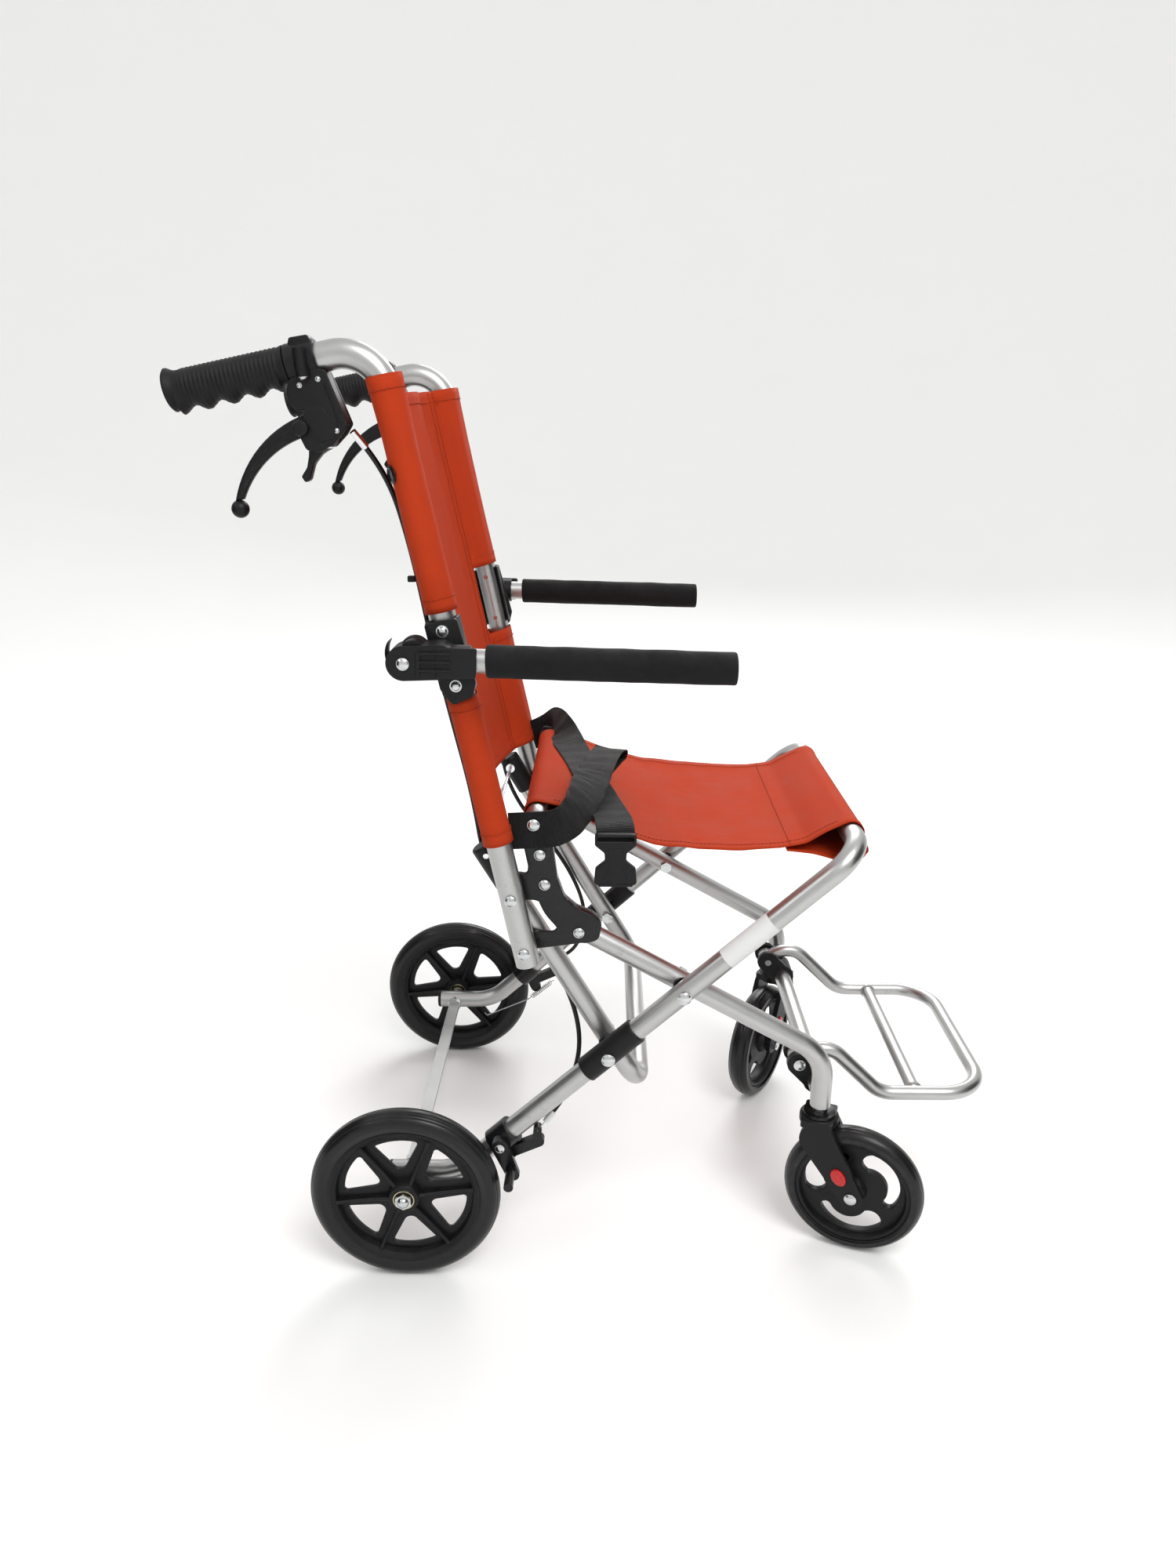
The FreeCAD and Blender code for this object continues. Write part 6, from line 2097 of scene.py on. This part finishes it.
@dataclass
class Caster(Sided):
    """Six inch caster: tyre, rim with three curved windows, fork trim and reflector."""

    radius: float = 0.075
    tyre_depth: float = 0.013
    tyre_width: float = 0.026
    trail: float = 0.042
    rim_r: float = 0.0619
    web_half: float = 0.0045
    half_width: float = 0.0102
    leg_out: float = 0.021
    leg_lean: float = 122.0
    lens_up: float = 0.0275

    def place(self) -> Matrix:
        """From the caster's own plane, trailing along +X, to its place at rest."""
        stem = pivot(self.own("caster_swivel"))
        axis = next(j["axis"] for j in frame["joints"] if j["name"] == self.own("caster_spin"))
        turn = math.atan2(-axis[0], axis[1])
        return Matrix.Translation((stem.x, stem.y, 0)) @ Matrix.Rotation(turn, 4, "Z")

    def crescent(self, turn: float) -> list[Point]:
        """Curved teardrop window of the rim.

        Args:
            turn: Its direction in degrees.

        Returns:
            The outline about the axle.
        """
        def spot(radius: float, angle: float) -> Point:
            a = math.radians(84 - angle + turn)
            return (radius * math.cos(a), radius * math.sin(a))

        outer = through(spot(0.051, 0), spot(0.0525, 42), spot(0.045, 84), 14)
        nose = through(spot(0.045, 84), spot(0.0385, 90), spot(0.034, 80), 8)[1:-1]
        inner = through(spot(0.034, 80), spot(0.037, 42), spot(0.029, 8), 12)
        tail = through(spot(0.029, 8), spot(0.04, -9), spot(0.051, 0), 8)[1:-1]
        return outer + nose + inner + tail

    def build(self) -> None:
        """Builds the wheel in its own plane, then the trim on the fork."""
        place = self.place()
        hub = Vector((self.trail, 0, self.radius))
        tyre = ring_lathe(tyre_rings(self.radius, self.tyre_depth, self.tyre_width, (0.35,)), hub, ACROSS,
            96)
        Piece(self.own("caster_rubber"), tyre.moved(place), self.palette.tyre, Slot.TYRE,
            self.own("caster_wheel"), (self.own("caster_tyre"),), sharp=40).build()
        Piece(self.own("caster_wheel_rim"), self.rim(hub).moved(place), self.palette.plastic, Slot.PLASTIC,
            self.own("caster_wheel"), (self.own("caster_rim"),), sharp=30).build()
        lens = self.reflector()
        Piece(self.own("reflector_lens"), lens.moved(place), self.palette.reflector, Slot.REFLECTOR,
            self.own("caster_fork"), (self.own("caster_reflector"),), sharp=35).build()
        cap = ring_lathe([(0.0084, 0.0), (0.017, 0.0), (0.0182, 0.001), (0.017, 0.0028), (0.012, 0.0034),
            (0.0084, 0.0034)], Vector((0, 0, 0.1602)), Vector((0, 0, 1)), 48)
        Piece(self.own("caster_dust_cap"), cap.moved(place), self.palette.gloss_plastic, Slot.PLASTIC,
            self.own("caster_fork"), sharp=35).build()

    def rim(self, hub: Vector) -> Draft:
        """The moulded rim about its axle."""
        h = self.half_width
        ring = [(self.rim_r, -h), (self.rim_r, h), (self.rim_r - 0.002, h + 0.0006),
            (self.rim_r - 0.0045, h - 0.0006), (self.rim_r - 0.0065, self.web_half),
            (self.rim_r - 0.0065, -self.web_half), (self.rim_r - 0.0045, -h + 0.0006),
            (self.rim_r - 0.002, -h - 0.0006)]
        draft = ring_lathe(ring, hub, ACROSS, 80)
        face = arc_points((0.0, 0.0), self.rim_r - 0.005, 0, 354, 59)
        windows = [self.crescent(120 * k - 15) for k in range(3)]
        web = Plate(face, -self.web_half, self.web_half, 0.0012, windows).draw()
        draft.merge(web.moved(Matrix.Translation(hub)))
        boss = [(0.0042, -0.013), (0.0105, -0.013), (0.0128, -0.0112), (0.016, -self.web_half),
            (0.016, self.web_half), (0.0128, 0.0112), (0.0105, 0.013), (0.0042, 0.013)]
        return draft.merge(ring_lathe(boss, hub, ACROSS, 48))

    def reflector(self) -> Draft:
        """Domed oval lens on the fork's outer leg."""
        out = self.side.value
        along = heading(math.radians(self.leg_lean))
        spot = Vector((self.trail, 0, self.radius)) + along * self.lens_up
        side = Vector((-along.z, 0, along.x))
        rows = []
        for size, rise in ((1.0, 0.0), (1.0, 0.0012), (0.95, 0.0019), (0.7, 0.0025), (0.35, 0.0028)):
            rows.append([spot + (along * (0.0105 * math.cos(a)) + side * (0.0074 * math.sin(a))) * size
                + Vector((0, out * (self.leg_out + 0.0001 + rise), 0)) for a in turns(40)])
        return Draft().grid(rows, closed=True, caps=True)


# Small works -------------------------------------------------


def coil(start: Vector, end: Vector, radius: float, turns: int, wire: float) -> Draft:
    """A tension spring between two points, with straight ends.

    Args:
        start: One end.
        end: The other end.
        radius: Radius of the turns.
        turns: How many turns.
        wire: Radius of the wire.

    Returns:
        The closed surface.
    """
    ahead, side, up = axis_frame(end - start)
    length = (end - start).length
    lead = min(0.006, length * 0.2)
    line = [start, start + ahead * lead * 0.7]
    steps = turns * 14
    for k in range(steps + 1):
        a = 2 * math.pi * turns * k / steps
        line.append(start + ahead * (lead + (length - 2 * lead) * k / steps) + (side * math.cos(a) + up
            * math.sin(a)) * radius)
    line += [end - ahead * lead * 0.7, end]
    return tube(line, wire, 6)


@dataclass
class SideBracket(Sided):
    """Moulded bracket over the back frame's knee, with two arms to the backrest tube."""

    outer: float = 0.1732
    arm_in: float = 0.1687
    shell_in: float = 0.16

    def build(self) -> None:
        """Builds the thin arms, the thicker band and its ribs."""
        arms = [(-0.085, 0.504), (-0.0818, 0.4735), (-0.0772, 0.437), (-0.0703, 0.4163), (-0.058, 0.405),
            (-0.042, 0.3975), (-0.032, 0.39), (-0.036, 0.369), (-0.0515, 0.3665), (-0.097, 0.36),
            (-0.119, 0.356), (-0.123, 0.374), (-0.0985, 0.379), (-0.08, 0.379), (-0.0775, 0.387),
            (-0.085, 0.402), (-0.098, 0.4135), (-0.126, 0.4145), (-0.13, 0.438), (-0.115, 0.444),
            (-0.1075, 0.442), (-0.106, 0.454), (-0.112, 0.485), (-0.114, 0.504)]
        radii = [0.01, 0.02, 0.03, 0.02, 0.03, 0.02, 0.01, 0.008, 0.02, 0.02, 0.006, 0.006, 0.01, 0.008,
            0.008, 0.02, 0.012, 0.006, 0.006, 0.006, 0.006, 0.01, 0.02, 0.01]
        band = [(-0.085, 0.5045), (-0.0818, 0.4735), (-0.0772, 0.437), (-0.0703, 0.4163), (-0.058, 0.405),
            (-0.042, 0.3975), (-0.032, 0.39), (-0.036, 0.369), (-0.052, 0.365), (-0.076, 0.38),
            (-0.09, 0.398), (-0.102, 0.425), (-0.1065, 0.45), (-0.113, 0.485), (-0.1145, 0.5045)]
        y = self.side.y
        draft = Plate(rounded_outline(arms, radii), y(self.arm_in), y(self.outer), 0.0012).draw()
        draft.plate(rounded_outline(band, 0.012), y(self.shell_in), y(self.outer - 0.0001), 0.0014)
        for xz in ((-0.094, 0.463), (-0.09, 0.431), (-0.056, 0.3785)):
            draft.merge(across(xz, y(self.outer - 0.002), y(self.outer + 0.0002), 0.0078, 0.0006))
        Piece(self.own("knee_bracket"), draft, self.palette.gloss_plastic, Slot.PLASTIC, "back_frame",
            (self.own("side_bracket"),), sharp=35).build()


@dataclass
class SmallWorks:
    """The far brake's return spring and rod, the footrest's welds and the release rods of the brace."""

    palette: Palette
    weld_r: float = 0.0016
    brace_rise: float = math.radians(120.3)
    brace_length: float = 0.244

    def build(self) -> None:
        """Builds each of them."""
        self.brake_spring(Side.LEFT)
        self.welds()
        self.release_rods()

    def brake_spring(self, side: Side) -> None:
        """Return spring and adjuster of one wheel brake."""
        y = side.y(0.2)
        hook, eye, far = Vector((-0.1, y, 0.123)), Vector((-0.136, y, 0.093)), Vector((-0.196, y, 0.066))
        draft = coil(hook, eye, 0.003, 13, 0.0006)
        draft.merge(tube([eye, far, far + Vector((-0.004, 0, 0.004))], 0.0009, 8))
        Piece(f"brake_spring_{side.label}", draft, self.palette.spring, Slot.ZINC, "front_frame",
            sharp=50).build()

    def welds(self) -> None:
        """Weld beads where the footrest's rung meets its sides."""
        draft = Draft()
        x, z, y = 0.319, 0.157, 0.119
        for side in Side:
            centre = Vector((x, side.y(y - 0.0072), z))
            ring = [centre + heading(a) * (0.0078 + 0.0003 * math.sin(a * 13)) for a in turns(40)]
            draft.merge(tube(ring + ring[:1], self.weld_r, 8))
        Piece("footrest_welds", draft, self.palette.weld, Slot.TUBE, "footrest", closed=False).build()

    def release_rods(self) -> None:
        """Bright guide rods beside the brace's lock pins."""
        draft = Draft()
        top = pivot("brace_swing") + heading(self.brace_rise) * self.brace_length
        for side in Side:
            inner = top + Vector((0, side.y(0.12), 0))
            draft.merge(tube([inner, inner + Vector((-0.004, side.y(-0.012), -0.012)),
                inner + Vector((-0.01, side.y(-0.03), -0.02))], 0.0022, 14))
        Piece("brace_release_rods", draft, self.palette.chrome, Slot.ZINC, "brace", sharp=35).build()


def main() -> None:
    """Builds the chair and its studio."""
    logging.basicConfig(level=logging.INFO, format="%(name)s: %(message)s")
    palette = Palette()
    Studio().build()
    Framework(palette).build()
    BackSling(palette).build()
    SeatSling(palette).build()
    LapBelt(palette).build()
    for side in Side:
        for part in (PushHandle, HandBrake, BrakeCable, SideBracket, Armrest, RearWheel, Caster):
            part(palette, side).build()
    SmallWorks(palette).build()


if __name__ == "__main__":
    main()
